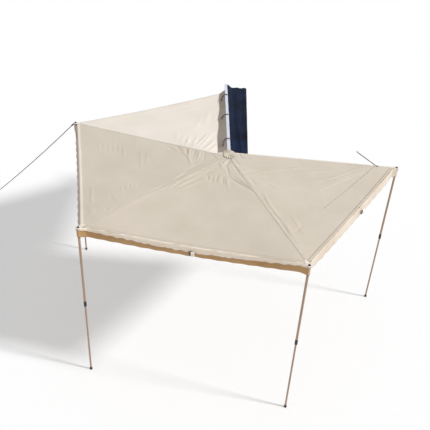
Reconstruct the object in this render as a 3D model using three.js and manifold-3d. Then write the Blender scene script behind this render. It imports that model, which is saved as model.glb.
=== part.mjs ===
// Vehicle side awning: a fan of four arms on one upright pin at the rear end of a rail.
// The rail hangs on a roof rack by two angle brackets. Each arm carries a folding,
// telescopic leg at its tip, and a canopy of four panels lies on the arms.
// Millimetres, +Z up, +Y along the rail towards the front, +X towards the vehicle.
// The origin is the middle of the rear bracket's lower face, where it sits on the rack.
import * as THREE from 'three'
import { mergeVertices } from 'three/addons/utils/BufferGeometryUtils.js'
import Module from 'manifold-3d'

const wasm = await Module()
wasm.setup()

// Fan layout. Heights are above the ground until the whole awning is moved to its origin.
const armCount = 4
const fanStep = THREE.MathUtils.degToRad(66.7)
const armReach = 2030
const armPitch = 34
const armHeight = 2000
const clearance = 0.3

// Arm tubes, their cranked knuckles on the pin, and their tips
const armWidth = 28
const armDepth = 40
const armWall = 2
const knuckleEyeRadius = 19
const knuckleBarWidth = 24
const knuckleGap = 0.6
const knuckleReach = 84
const spigotLength = 45
const tipLength = 40
const tipNose = 15
const studRadius = 5
const studHeight = 22
const cheekThickness = 5
const cheekRadius = 14

// Rail with its bolt slot, end cap and hub bracket
const railWidth = 38
const railDepth = 56
const railWall = 3
const railMiddle = 63
const railStart = 150
const railEnd = 2200
const slotMouth = 9
const slotInside = 17
const slotDepth = 11
const slotLip = 3
const capThickness = 4
const capPlugLength = 14
const bracketPlate = 6
const bracketOverlap = 60
const bracketNose = 24
const bracketNoseTurn = Math.PI / 6
const pinRadius = 8
const pinHeadRadius = 14
const pinHeadThickness = 7

// Rack brackets and their slot bolts
const rackBracketPlaces = [610, 1690]
const rackBracketWidth = 64
const rackBracketFoot = 66
const rackHoleRadius = 4.5
const rackHoleSpacing = 36
const boltRadius = 4
const boltNutRadius = 7.5
const boltNutThickness = 6.5
const boltHeadWidth = 14
const boltHeadThickness = 5
const boltOverrun = 5

// Legs: a clevis pin, a head, two telescopic tubes, a twist collar and a foot
const pivotDrop = 52
const legPinRadius = 4
const legHeadRadius = 11
const legFerruleRadius = 13
const legFerruleTop = 20
const legFerruleLength = 25
const upperTubeRadius = 12.5
const lowerTubeRadius = 10
const legWall = 1.5
const upperTubeEnd = 1000
const lowerTubeTop = 1130
const collarTop = 1054
const collarBottom = 984
const collarRadius = 15
const collarRibCount = 8
const collarRibCornerCount = 4
const collarRibDepth = 1.2
const footRadius = 15
const footHeight = 34
const footSole = 8
const roundSides = 16
const smallSides = 12
const hexSides = 6

// Canopy panels and the valances that hang from their outer edges
const clothThickness = 1.5
const ridgeClearance = 1
const apexPlace = [51, 48]
const backApexPlace = [68, 150]
const apexRise = 30
const apexShare = 0.025
const cornerInset = 17
const edgeBow = 8
const panelSag = 30
const sagPower = 1.5
const seamGap = 0.4
const panelRows = 8
const panelColumns = 12
const stripWidth = 98
const stripDrop = 64
const stripColumns = 2
const hubStripShare = 0.15
const railEdgeStart = 72
const railEdgeOpen = 143
const railEdgeFull = 290
const railEdgeEnd = 2010
const valanceDepth = 105
const valanceFold = 3
const valanceFoldLength = 155
const valanceEndGap = 40
const valanceFlares = [0, 45, 6, 12]
const flareFall = 0.6
const valanceStepsPerFold = 4
const valanceRows = 1

// Opened cover that lies over the rack, and the elastic ties on the rail
const coverThickness = 2.5
const coverLie = 44
const coverLip = 15
const coverSlopeWidth = 54
const coverWidth = 280
const coverTaper = 70
const coverSlopeShare = 0.6
const coverHemDrop = 6
const coverHemCurve = 4
const coverEndGap = 14
const coverRipple = 4
const coverRippleLength = 520
const coverColumns = 8
const coverRows = 16
const tiePlaceShares = [0.189, 0.519, 0.827]
const tieSlants = [120, 30, 65]
const tieCordRadius = 2.5
const tieCordSpacing = 14
const tieToggleRadius = 7
const tieToggleLength = 34
const tieReach = 50

// Guy rope at the first arm, and the tie rope from the last arm to the rack
const ropeRadius = 5
const ropeSides = 8
const ropeSteps = 24
const ropePointCount = 8
const guyEnd = [-3565, 1990]
const guyEndHeight = 44
const guySag = 30
const guyStartGap = 3.8
const guyStartDrop = 6
const guyLoopLength = 90
const guyLoopWidth = 50
const guyKnotRadius = 14
const guyKnotLength = 36
const runnerPlace = 50
const runnerLength = 46
const runnerWidth = 26
const runnerThickness = 18
const tieArmPlace = 1822
const tieStartGap = 2.5
const tieEnd = [1655, 390]
const tieEndHeight = 1985
const tieRopeSteps = 12
const hookRadius = 16
const hookWire = 3.5
const hookTurn = 1.15 * Math.PI
const hookSteps = 16
const ringSides = 6

// Sizes that follow from the ones above
const armTop = armHeight + armDepth / 2
const armBottom = armHeight - armDepth / 2
const railTop = armHeight + railDepth / 2
const railBottom = armHeight - railDepth / 2
const railLeft = railMiddle - railWidth / 2
const railRight = railMiddle + railWidth / 2
const levelPitch = (railDepth + 2 * clearance - knuckleGap) / armCount
const levelBase = railBottom - clearance + knuckleGap
const pivotHeight = armHeight - pivotDrop
const tubeStart = knuckleReach + clearance
const tubeEnd = armReach - tipLength
const upperTubeBore = upperTubeRadius - legWall
const rearBracketPlace = rackBracketPlaces[0]
const bracketFace = railRight + clearance
const mountPlace = bracketFace + bracketPlate + rackBracketFoot / 2

const materials = {
  silver: new THREE.MeshStandardMaterial({ color: 0xc9ced6, roughness: 0.32, metalness: 0.9 }),
  black: new THREE.MeshStandardMaterial({ color: 0x1c1c1f, roughness: 0.55, metalness: 0.1 }),
  steel: new THREE.MeshStandardMaterial({ color: 0x9a9ca0, roughness: 0.4, metalness: 0.9 }),
  bronze: new THREE.MeshStandardMaterial({ color: 0x9c8472, roughness: 0.42, metalness: 0.6 }),
  cloth: new THREE.MeshStandardMaterial({ color: 0xddd3c2, roughness: 0.85, metalness: 0 }),
  hem: new THREE.MeshStandardMaterial({ color: 0xc8b596, roughness: 0.85, metalness: 0 }),
  cover: new THREE.MeshStandardMaterial({ color: 0x1d2838, roughness: 0.45, metalness: 0 }),
  rope: new THREE.MeshStandardMaterial({ color: 0x5a4636, roughness: 0.8, metalness: 0 }),
}

// A closed geometry as a solid that can be joined and cut.
function toSolid(geometry) {
  const bare = geometry.clone()
  bare.deleteAttribute('normal')
  bare.deleteAttribute('uv')
  const merged = mergeVertices(bare)
  const vertProperties = Float32Array.from(merged.attributes.position.array)
  const triVerts = Uint32Array.from(merged.index.array)
  return new wasm.Manifold(new wasm.Mesh({ numProp: 3, vertProperties, triVerts }))
}

// A solid as a geometry again.
function toGeometry(solid) {
  const mesh = solid.getMesh()
  const geometry = new THREE.BufferGeometry()
  geometry.setAttribute('position', new THREE.BufferAttribute(mesh.vertProperties, 3))
  geometry.setIndex(new THREE.BufferAttribute(mesh.triVerts, 1))
  geometry.computeVertexNormals()
  return geometry
}

// Several geometries joined into one.
function join(...geometries) {
  const solids = geometries.map(toSolid)
  return toGeometry(solids.reduce((whole, solid) => whole.add(solid)))
}

// One geometry with others cut away.
function cut(geometry, ...tools) {
  const solids = tools.map(toSolid)
  return toGeometry(solids.reduce((whole, solid) => whole.subtract(solid), toSolid(geometry)))
}

// A box given by its lowest and highest place along each axis.
function block([x0, x1], [y0, y1], [z0, z1]) {
  const geometry = new THREE.BoxGeometry(x1 - x0, y1 - y0, z1 - z0)
  return geometry.translate((x0 + x1) / 2, (y0 + y1) / 2, (z0 + z1) / 2)
}

// A round bar between two points.
function rod(radius, from, to, sides = roundSides) {
  const start = new THREE.Vector3(...from)
  const run = new THREE.Vector3(...to).sub(start)
  const geometry = new THREE.CylinderGeometry(radius, radius, run.length(), sides)
  const turn = new THREE.Quaternion().setFromUnitVectors(
    new THREE.Vector3(0, 1, 0),
    run.clone().normalize(),
  )
  geometry.applyQuaternion(turn)
  return geometry.translate(...start.addScaledVector(run, 0.5).toArray())
}

// A regular section for tubes that follow a curve.
function roundSection(radius, sides) {
  const section = new THREE.Shape()
  const points = []
  for (let i = 0; i < sides; i += 1) {
    const angle = (i / sides) * 2 * Math.PI
    points.push(new THREE.Vector2(radius * Math.cos(angle), radius * Math.sin(angle)))
  }
  section.setFromPoints(points)
  return section
}

// A tube along a curve.
function tubeAlong(curve, radius, sides, steps) {
  return new THREE.ExtrudeGeometry(roundSection(radius, sides), { extrudePath: curve, steps })
}

// A flat outline in x and y, thickened upwards from a height.
function plate(outline, bottom, thickness) {
  const geometry = new THREE.ExtrudeGeometry(outline, { depth: thickness, bevelEnabled: false })
  return geometry.translate(0, 0, bottom)
}

// An outline in x and z, drawn out along y.
function beam(outline, start, length) {
  const geometry = new THREE.ExtrudeGeometry(outline, { depth: length, bevelEnabled: false })
  geometry.rotateX(Math.PI / 2)
  return geometry.translate(0, start + length, 0)
}

// A thin closed sheet: a grid of points, doubled at an offset and closed round its rim.
// Both faces split their squares along the same diagonal, so that they never cross.
function sheet(columns, rows, pointAt, offset) {
  const front = []
  for (let r = 0; r <= rows; r += 1) {
    for (let c = 0; c <= columns; c += 1) front.push(pointAt(c / columns, r / rows))
  }
  const back = front.map((point) => point.clone().add(offset))
  const size = front.length
  const at = (c, r) => r * (columns + 1) + c
  const across = front[at(1, 0)].clone().sub(front[0])
  const along = front[at(0, 1)].clone().sub(front[0])
  const facesOut = across.cross(along).dot(offset) < 0
  const faces = []
  const quad = (a, b, c, d) => {
    if (facesOut) faces.push(a, b, c, a, c, d)
    else faces.push(a, c, b, a, d, c)
  }
  for (let r = 0; r < rows; r += 1) {
    for (let c = 0; c < columns; c += 1) {
      const [a, b, d, e] = [at(c, r), at(c + 1, r), at(c + 1, r + 1), at(c, r + 1)]
      quad(a, b, d, e)
      quad(size + a, size + e, size + d, size + b)
    }
  }
  for (let c = 0; c < columns; c += 1) {
    quad(size + at(c, 0), size + at(c + 1, 0), at(c + 1, 0), at(c, 0))
    quad(at(c, rows), at(c + 1, rows), size + at(c + 1, rows), size + at(c, rows))
  }
  for (let r = 0; r < rows; r += 1) {
    quad(at(0, r), at(0, r + 1), size + at(0, r + 1), size + at(0, r))
    quad(size + at(columns, r), size + at(columns, r + 1), at(columns, r + 1), at(columns, r))
  }
  const geometry = new THREE.BufferGeometry()
  const places = [...front, ...back].flatMap((point) => point.toArray())
  geometry.setAttribute('position', new THREE.Float32BufferAttribute(places, 3))
  geometry.setIndex(faces)
  geometry.computeVertexNormals()
  return geometry
}

function named(name, geometry, material) {
  const mesh = new THREE.Mesh(geometry, material)
  mesh.name = name
  return mesh
}

// The rail's section: a hollow bar with a T slot in the side that faces the vehicle.
function railSection() {
  const outline = new THREE.Shape()
  outline.moveTo(railLeft, railBottom)
  outline.lineTo(railRight, railBottom)
  outline.lineTo(railRight, armHeight - slotMouth / 2)
  outline.lineTo(railRight - slotLip, armHeight - slotMouth / 2)
  outline.lineTo(railRight - slotLip, armHeight - slotInside / 2)
  outline.lineTo(railRight - slotDepth, armHeight - slotInside / 2)
  outline.lineTo(railRight - slotDepth, armHeight + slotInside / 2)
  outline.lineTo(railRight - slotLip, armHeight + slotInside / 2)
  outline.lineTo(railRight - slotLip, armHeight + slotMouth / 2)
  outline.lineTo(railRight, armHeight + slotMouth / 2)
  outline.lineTo(railRight, railTop)
  outline.lineTo(railLeft, railTop)
  outline.closePath()
  const hollow = new THREE.Path()
  hollow.moveTo(railLeft + railWall, railBottom + railWall)
  hollow.lineTo(railLeft + railWall, railTop - railWall)
  hollow.lineTo(railRight - slotDepth - railWall, railTop - railWall)
  hollow.lineTo(railRight - slotDepth - railWall, railBottom + railWall)
  hollow.closePath()
  outline.holes.push(hollow)
  return outline
}

function mountRail() {
  return named('mount_rail', beam(railSection(), railStart, railEnd - railStart), materials.silver)
}

// The cap closes the front end, with a plug in the rail's hollow.
function railEndCap() {
  const face = railEnd + clearance
  const lid = block([railLeft, railRight], [face, face + capThickness], [railBottom, railTop])
  const plugInset = railWall + clearance
  const plug = block(
    [railLeft + plugInset, railRight - slotDepth - plugInset],
    [railEnd - capPlugLength, face + capThickness / 2],
    [railBottom + plugInset, railTop - plugInset],
  )
  return named('rail_end_cap', join(lid, plug), materials.black)
}

// Two plates above and below the arms' knuckles, joined by a web at the rail's end.
function hubBracket() {
  const outline = new THREE.Shape()
  const plateEnd = railStart + bracketOverlap
  const webBack = railStart - clearance - bracketPlate
  const noseStart = -bracketNoseTurn
  const noseEnd = -Math.PI - bracketNoseTurn
  outline.moveTo(railLeft, plateEnd)
  outline.lineTo(railRight, plateEnd)
  outline.lineTo(railRight, webBack)
  outline.lineTo(bracketNose * Math.cos(noseStart), bracketNose * Math.sin(noseStart))
  outline.absarc(0, 0, bracketNose, noseStart, noseEnd, true)
  outline.lineTo(railLeft, webBack)
  outline.closePath()
  const lowerBase = railBottom - clearance - bracketPlate
  const upperBase = railTop + clearance
  const topFace = upperBase + bracketPlate
  const web = block([railLeft, railRight], [webBack, webBack + bracketPlate], [lowerBase, topFace])
  const body = join(plate(outline, lowerBase, bracketPlate), plate(outline, upperBase, bracketPlate), web)
  const bore = rod(pinRadius + clearance, [0, 0, lowerBase - boltOverrun], [0, 0, topFace + boltOverrun])
  return named('hub_bracket', cut(body, bore), materials.black)
}

// The upright pin that all four arms turn on, with its head above and its nut below.
function hubPin() {
  const lowerFace = railBottom - 2 * clearance - bracketPlate
  const upperFace = railTop + 2 * clearance + bracketPlate
  const shank = rod(pinRadius, [0, 0, lowerFace], [0, 0, upperFace])
  const nutBottom = [0, 0, lowerFace - pinHeadThickness]
  const headTop = [0, 0, upperFace + pinHeadThickness]
  const nut = rod(pinHeadRadius, nutBottom, [0, 0, lowerFace], hexSides)
  const head = rod(pinHeadRadius, [0, 0, upperFace], headTop, hexSides)
  return named('hub_pin', join(shank, nut, head), materials.steel)
}

// An angle bracket: one leg on the rail's side, the foot on the rack below.
function rackBracket(name, place) {
  const across = [place - rackBracketWidth / 2, place + rackBracketWidth / 2]
  const footEnd = bracketFace + bracketPlate + rackBracketFoot
  const wall = block([bracketFace, bracketFace + bracketPlate], across, [railBottom, railTop])
  const foot = block([bracketFace, footEnd], across, [railBottom, railBottom + bracketPlate])
  const tools = []
  for (const side of [-1, 1]) {
    const y = place + (side * rackHoleSpacing) / 2
    const below = [mountPlace, y, railBottom - boltOverrun]
    const above = [mountPlace, y, railBottom + bracketPlate + boltOverrun]
    tools.push(rod(rackHoleRadius, below, above, smallSides))
  }
  const inside = [bracketFace - boltOverrun, place, armHeight]
  const outside = [bracketFace + bracketPlate + boltOverrun, place, armHeight]
  tools.push(rod(boltRadius + clearance, inside, outside, smallSides))
  return named(name, cut(join(wall, foot), ...tools), materials.black)
}

// A slot bolt: its square head sits in the rail's slot and its nut holds the bracket.
function bracketBolt(name, place) {
  const headEnd = railRight - slotLip - clearance
  const half = boltHeadWidth / 2
  const head = block(
    [headEnd - boltHeadThickness, headEnd],
    [place - half, place + half],
    [armHeight - half, armHeight + half],
  )
  const nutFace = bracketFace + bracketPlate + clearance
  const shankEnd = [nutFace + boltNutThickness + boltOverrun, place, armHeight]
  const shank = rod(boltRadius, [headEnd - boltHeadThickness / 2, place, armHeight], shankEnd, smallSides)
  const nutEnd = [nutFace + boltNutThickness, place, armHeight]
  const nut = rod(boltNutRadius, [nutFace, place, armHeight], nutEnd, hexSides)
  return named(name, join(head, shank, nut), materials.steel)
}

// The opened cover: over the brackets, down a slope, then out over the rack with a soft ripple.
function coverFlap() {
  const start = railStart + bracketOverlap + coverEndGap
  const end = railEnd - coverEndGap
  const top = railTop + clearance + coverThickness
  const lie = top - coverLie
  const flatStart = coverLip + coverSlopeWidth
  const slope = [
    [0, top],
    [coverLip, top],
    [coverLip + coverSlopeWidth / 2, top - coverLie * coverSlopeShare],
  ]
  const flatColumns = coverColumns - slope.length
  const pointAt = (u, v) => {
    const y = start + (end - start) * v
    const width = coverWidth - coverTaper * (1 - v)
    const column = Math.round(u * coverColumns)
    const out = Math.max(0, (column - slope.length) / flatColumns)
    const flat = [flatStart + (width - flatStart) * out, lie - coverHemDrop * out ** coverHemCurve]
    const [x, z] = column < slope.length ? slope[column] : flat
    const ripple = coverRipple * out * (1 - Math.cos((2 * Math.PI * y) / coverRippleLength))
    return new THREE.Vector3(railRight + clearance + x, y, z + ripple)
  }
  const offset = new THREE.Vector3(0, 0, -coverThickness)
  return named('cover_flap', sheet(coverColumns, coverRows, pointAt, offset), materials.cover)
}

// An elastic tie: a looped cord over the rail's top and down the strip, with a toggle at its end.
// Its right end stays clear of the cover when that is raised.
function tieLoop(name, place, slant) {
  const lift = railTop + tieCordRadius + clearance
  const stripSlope = stripDrop / stripWidth
  const lowHeight = railTop - stripSlope * tieReach + tieToggleRadius + tieCordRadius
  const low = [railLeft - tieReach, place - slant, lowHeight]
  const half = tieCordSpacing / 2
  const bridgeX = railRight - coverThickness - 2 * tieCordRadius
  const parts = []
  for (const y of [place - half, place + half]) {
    const right = [bridgeX, y, lift]
    const left = [railLeft - tieCordRadius, y, lift]
    const shoulder = new THREE.SphereGeometry(tieCordRadius, ringSides, ringSides)
    parts.push(rod(tieCordRadius, right, left, ringSides), rod(tieCordRadius, left, low, ringSides))
    parts.push(shoulder.translate(...left))
  }
  const bridgeEnds = [place - half, place + half].map((y) => [bridgeX, y, lift])
  parts.push(rod(tieCordRadius, ...bridgeEnds, ringSides))
  const toggleRun = new THREE.Vector3(-tieReach, -slant, lowHeight - lift).setLength(tieToggleLength)
  const toggleEnd = new THREE.Vector3(...low).add(toggleRun).toArray()
  parts.push(rod(tieToggleRadius, low, toggleEnd, smallSides))
  return named(name, join(...parts), materials.black)
}

// The sideways place of an arm's centre line in its own frame, from the pin.
function armSide(index) {
  return -armPitch * index
}

// A knuckle: an eye at its own level on the pin, a crank out to the arm's line, and a spigot.
function armKnuckle(index) {
  const low = levelBase + levelPitch * index
  const high = low + levelPitch - knuckleGap
  const side = armSide(index)
  const halfBar = knuckleBarWidth / 2
  const line = [side - halfBar, side + halfBar]
  const eye = rod(knuckleEyeRadius, [0, 0, low], [0, 0, high])
  const cross = block([side - halfBar, halfBar], [-halfBar, halfBar], [low, high])
  const along = block(line, [-halfBar, knuckleReach], [low, high])
  const riserBack = knuckleReach - knuckleBarWidth
  const riserTop = Math.max(high, armTop - armWall)
  const riserBottom = Math.min(low, armBottom + armWall)
  const riser = block(line, [riserBack, knuckleReach], [riserBottom, riserTop])
  const inset = armWall + clearance
  const spigot = block(
    [side - armWidth / 2 + inset, side + armWidth / 2 - inset],
    [riserBack, knuckleReach + spigotLength],
    [armBottom + inset, armTop - inset],
  )
  const bore = rod(pinRadius + clearance, [0, 0, low - boltOverrun], [0, 0, high + boltOverrun])
  const body = cut(join(eye, cross, along, riser, spigot), bore)
  return named(`arm_knuckle_${index + 1}`, body, materials.black)
}

// A hollow rectangular arm tube.
function armTube(index) {
  const side = armSide(index)
  const outer = new THREE.Shape()
  outer.moveTo(side - armWidth / 2, armBottom)
  outer.lineTo(side + armWidth / 2, armBottom)
  outer.lineTo(side + armWidth / 2, armTop)
  outer.lineTo(side - armWidth / 2, armTop)
  outer.closePath()
  const inner = new THREE.Path()
  inner.moveTo(side - armWidth / 2 + armWall, armBottom + armWall)
  inner.lineTo(side - armWidth / 2 + armWall, armTop - armWall)
  inner.lineTo(side + armWidth / 2 - armWall, armTop - armWall)
  inner.lineTo(side + armWidth / 2 - armWall, armBottom + armWall)
  inner.closePath()
  outer.holes.push(inner)
  const tube = beam(outer, tubeStart, tubeEnd - clearance - tubeStart)
  return named(`arm_tube_${index + 1}`, tube, materials.silver)
}

// The tip: a plug in the tube, a nose with the stud for the canopy, and a clevis for the leg.
function armTip(index) {
  const side = armSide(index)
  const inset = armWall + clearance
  const plug = block(
    [side - armWidth / 2 + inset, side + armWidth / 2 - inset],
    [tubeEnd - spigotLength, tubeEnd + armWall],
    [armBottom + inset, armTop - inset],
  )
  const nose = block(
    [side - armWidth / 2, side + armWidth / 2],
    [tubeEnd, armReach + tipNose],
    [armBottom, armTop],
  )
  const stud = rod(studRadius, [side, armReach, armHeight], [side, armReach, armTop + studHeight], smallSides)
  const parts = [plug, nose, stud]
  for (const hand of [-1, 1]) {
    const inner = side + hand * (legHeadRadius - clearance)
    const outer = inner + hand * cheekThickness
    const wide = [Math.min(inner, outer), Math.max(inner, outer)]
    const deep = [armReach - cheekRadius, armReach + cheekRadius]
    parts.push(block(wide, deep, [pivotHeight, armHeight]))
    parts.push(rod(cheekRadius, [inner, armReach, pivotHeight], [outer, armReach, pivotHeight]))
  }
  const reach = legHeadRadius + 2 * cheekThickness
  const bore = rod(
    legPinRadius + clearance,
    [side - reach, armReach, pivotHeight],
    [side + reach, armReach, pivotHeight],
    smallSides,
  )
  return named(`arm_tip_${index + 1}`, cut(join(...parts), bore), materials.black)
}

// Leg pieces are drawn round the leg's own axis, with heights above the ground.
function legPin(index) {
  const half = legHeadRadius - clearance + cheekThickness
  const pin = rod(legPinRadius, [-half, 0, pivotHeight], [half, 0, pivotHeight], smallSides)
  return named(`leg_pin_${index + 1}`, pin, materials.steel)
}

// The head: a tongue in the clevis, a ferrule, and a spigot inside the upper tube.
function legHead(index) {
  const half = legHeadRadius - 2 * clearance
  const ferruleTop = pivotHeight - legFerruleTop
  const ferruleBottom = ferruleTop - legFerruleLength
  const eye = rod(legHeadRadius, [-half, 0, pivotHeight], [half, 0, pivotHeight])
  const tongue = block([-half, half], [-legHeadRadius, legHeadRadius], [ferruleBottom, pivotHeight])
  const ferrule = rod(legFerruleRadius, [0, 0, ferruleBottom], [0, 0, ferruleTop])
  const spigotEnd = ferruleBottom - spigotLength
  const spigot = rod(upperTubeBore - clearance, [0, 0, spigotEnd], [0, 0, ferruleTop])
  const bore = rod(
    legPinRadius + clearance,
    [-2 * half, 0, pivotHeight],
    [2 * half, 0, pivotHeight],
    smallSides,
  )
  return named(`leg_head_${index + 1}`, cut(join(eye, tongue, ferrule, spigot), bore), materials.black)
}

// An open tube round the leg's axis between two heights.
function legTube(name, radius, bottom, top) {
  const profile = [
    new THREE.Vector2(radius - legWall, bottom),
    new THREE.Vector2(radius, bottom),
    new THREE.Vector2(radius, top),
    new THREE.Vector2(radius - legWall, top),
    new THREE.Vector2(radius - legWall, bottom),
  ]
  const geometry = new THREE.LatheGeometry(profile, roundSides).rotateX(Math.PI / 2)
  return named(name, geometry, materials.bronze)
}

function legUpper(index) {
  const top = pivotHeight - legFerruleTop - legFerruleLength - clearance
  return legTube(`leg_upper_${index + 1}`, upperTubeRadius, upperTubeEnd, top)
}

function legLower(index) {
  return legTube(`leg_lower_${index + 1}`, lowerTubeRadius, footSole + clearance, lowerTubeTop)
}

// The twist collar grips the lower tube just below the end of the upper tube.
// Each rib takes two corners of its outline, and each groove between two ribs takes two more.
function legCollar(index) {
  const outline = new THREE.Shape()
  const points = []
  const cornerCount = collarRibCornerCount * collarRibCount
  for (let i = 0; i < cornerCount; i += 1) {
    const onRib = i % collarRibCornerCount < collarRibCornerCount / 2
    const angle = ((i + (i % 2)) / cornerCount) * 2 * Math.PI
    const radius = onRib ? collarRadius : collarRadius - collarRibDepth
    points.push(new THREE.Vector2(radius * Math.cos(angle), radius * Math.sin(angle)))
  }
  outline.setFromPoints(points)
  const body = plate(outline, collarBottom, collarTop - collarBottom)
  const step = upperTubeEnd - clearance
  const above = [0, 0, collarTop + boltOverrun]
  const wide = rod(upperTubeRadius + clearance, [0, 0, step], above)
  const narrow = rod(lowerTubeRadius + clearance, [0, 0, collarBottom - boltOverrun], above)
  return named(`leg_collar_${index + 1}`, cut(body, wide, narrow), materials.black)
}

// The foot is a rubber cup with a flat sole.
function legFoot(index) {
  const bore = lowerTubeRadius + clearance
  const rim = (bore + footRadius) / 2
  const profile = [
    new THREE.Vector2(0, 0),
    new THREE.Vector2(footRadius, 0),
    new THREE.Vector2(footRadius, footSole),
    new THREE.Vector2(rim, footHeight),
    new THREE.Vector2(bore, footHeight),
    new THREE.Vector2(bore, footSole),
    new THREE.Vector2(0, footSole),
  ]
  const geometry = new THREE.LatheGeometry(profile, roundSides).rotateX(Math.PI / 2)
  return named(`leg_foot_${index + 1}`, geometry, materials.black)
}

// One arm with its leg, turned about the pin to its place in the fan.
function arm(index) {
  const group = new THREE.Group()
  group.rotation.z = fanStep * (index + 1)
  group.add(armKnuckle(index), armTube(index), armTip(index))
  const leg = new THREE.Group()
  leg.position.set(armSide(index), armReach, 0)
  leg.add(legPin(index), legHead(index), legUpper(index), legCollar(index))
  leg.add(legLower(index), legFoot(index))
  group.add(leg)
  return group
}

// A place on an arm, given along and beside it, as it stands in the opened fan.
function onArm(index, along, beside, height) {
  const turn = fanStep * (index + 1)
  const side = armSide(index) + beside
  const x = side * Math.cos(turn) - along * Math.sin(turn)
  const y = side * Math.sin(turn) + along * Math.cos(turn)
  return new THREE.Vector3(x, y, height)
}

// A panel's edge over an arm: a straight ridge from the apex to the corner at the tip.
// The back edge starts at the rail's end instead.
function ridgePoint(index, share, beside) {
  const corner = onArm(index, armReach - cornerInset, 0, 0)
  const place = index === armCount - 1 ? backApexPlace : apexPlace
  const apex = new THREE.Vector3(...place, 0)
  const run = corner.clone().sub(apex)
  const across = new THREE.Vector3(run.y, -run.x, 0).normalize()
  const point = apex.addScaledVector(run, share).addScaledVector(across, beside)
  point.z = armTop + ridgeClearance + clothThickness + apexRise * (1 - share)
  return point
}

// Share of the way out along a ridge, drawn in at the middle of the outer edge.
function shareAt(u, v) {
  const out = apexShare + (1 - apexShare) * v
  const span = armReach - cornerInset
  return out * (1 - (4 * u * (1 - u) * edgeBow) / span)
}

// How far a panel sags at a place between its two edges.
function sagAt(across, share) {
  return panelSag * share * (4 * across * (1 - across)) ** sagPower
}

// A panel between two arms, sagging a little between its ridges. The last one covers its arm.
function panelPoint(index, u, v) {
  const share = shareAt(u, v)
  const overhang = index === armCount - 1 ? -(armWidth / 2) * share : seamGap / 2
  const before = ridgePoint(index - 1, share, -seamGap / 2)
  const after = ridgePoint(index, share, overhang)
  const point = before.lerp(after, u)
  point.z -= sagAt(u, share)
  return point
}

// The first panel: from the rail, down a steep strip, then across to the first ridge.
function railPanelPoint(u, v) {
  const share = shareAt(u, v)
  const ridge = ridgePoint(0, share, seamGap / 2)
  const y = railEdgeStart + (railEdgeEnd - railEdgeStart) * v
  const open = THREE.MathUtils.smoothstep(y, railEdgeOpen, railEdgeFull)
  const edgeHeight = THREE.MathUtils.lerp(ridge.z, railTop - clothThickness, open)
  const width = stripWidth * THREE.MathUtils.lerp(hubStripShare, 1, open)
  const edge = new THREE.Vector3(railLeft - clearance, y, edgeHeight)
  const valley = new THREE.Vector3(railLeft - width, y, edgeHeight - stripDrop * open)
  const strip = stripColumns / panelColumns
  if (u < strip) return edge.lerp(valley, u / strip)
  const across = (u - strip) / (1 - strip)
  const point = valley.lerp(ridge, across)
  point.z -= sagAt(across, share) / 2
  return point
}

function canopyPanel(index) {
  const pointAt = index === 0 ? railPanelPoint : (u, v) => panelPoint(index, u, v)
  const offset = new THREE.Vector3(0, 0, -clothThickness)
  const geometry = sheet(panelColumns, panelRows, pointAt, offset)
  return named(`canopy_panel_${index + 1}`, geometry, materials.cloth)
}

// A place on a panel's outer rim, on the straight line between two of its columns.
function rimPoint(index, u) {
  const column = Math.min(Math.floor(u * panelColumns), panelColumns - 1)
  const start = panelPoint(index, column / panelColumns, 1)
  return start.lerp(panelPoint(index, (column + 1) / panelColumns, 1), u * panelColumns - column)
}

// A valance hangs from a panel's outer edge in upright folds, and swings out at its middle.
function valance(index) {
  const start = panelPoint(index, 0, 1)
  const end = panelPoint(index, 1, 1)
  const chord = end.clone().sub(start)
  const inward = new THREE.Vector3(-chord.y, chord.x, 0).normalize()
  const endShare = valanceEndGap / chord.length()
  const foldCount = Math.round(chord.length() / valanceFoldLength)
  const pointAt = (u, v) => {
    const place = endShare + (1 - 2 * endShare) * u
    const point = rimPoint(index, place)
    const fold = valanceFold * v * Math.sin(2 * Math.PI * foldCount * u)
    const flare = valanceFlares[index] * v * Math.sin(Math.PI * u) ** flareFall
    point.addScaledVector(inward, fold + clothThickness - flare)
    point.z -= clothThickness + clearance + valanceDepth * v
    return point
  }
  const columns = foldCount * valanceStepsPerFold
  const offset = inward.clone().multiplyScalar(clothThickness)
  return named(`valance_${index + 1}`, sheet(columns, valanceRows, pointAt, offset), materials.hem)
}

// A straight rope with a slight sag between two points.
function saggingCurve(start, end, sag) {
  const points = []
  for (let i = 0; i <= ropePointCount; i += 1) {
    const share = i / ropePointCount
    const point = start.clone().lerp(end, share)
    point.z -= sag * 4 * share * (1 - share)
    points.push(point)
  }
  return new THREE.CatmullRomCurve3(points)
}

// Turns a piece drawn along +Y at the origin to lie along a direction at a place.
function lieAlong(geometry, place, direction) {
  const turn = new THREE.Quaternion().setFromUnitVectors(new THREE.Vector3(0, 1, 0), direction)
  geometry.applyQuaternion(turn)
  return geometry.translate(...place.toArray())
}

// The guy rope from the first arm's nose to the ground, with its runner and end loop.
function guyCurve() {
  const start = onArm(0, armReach + tipNose + guyStartGap, 0, armTop - guyStartDrop)
  return saggingCurve(start, new THREE.Vector3(...guyEnd, guyEndHeight), guySag)
}

function guyRope() {
  const curve = guyCurve()
  return named('guy_rope', tubeAlong(curve, ropeRadius, ropeSides, ropeSteps), materials.rope)
}

function guyRunner() {
  const curve = guyCurve()
  const share = runnerPlace / curve.getLength()
  const place = curve.getPointAt(share)
  const direction = curve.getTangentAt(share)
  const half = runnerLength / 2
  const body = block(
    [-runnerWidth / 2, runnerWidth / 2],
    [-half, half],
    [-runnerThickness / 2, runnerThickness / 2],
  )
  const bore = rod(ropeRadius + 2 * clearance, [0, -runnerLength, 0], [0, runnerLength, 0], smallSides)
  return named('guy_runner', lieAlong(cut(body, bore), place, direction), materials.black)
}

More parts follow.
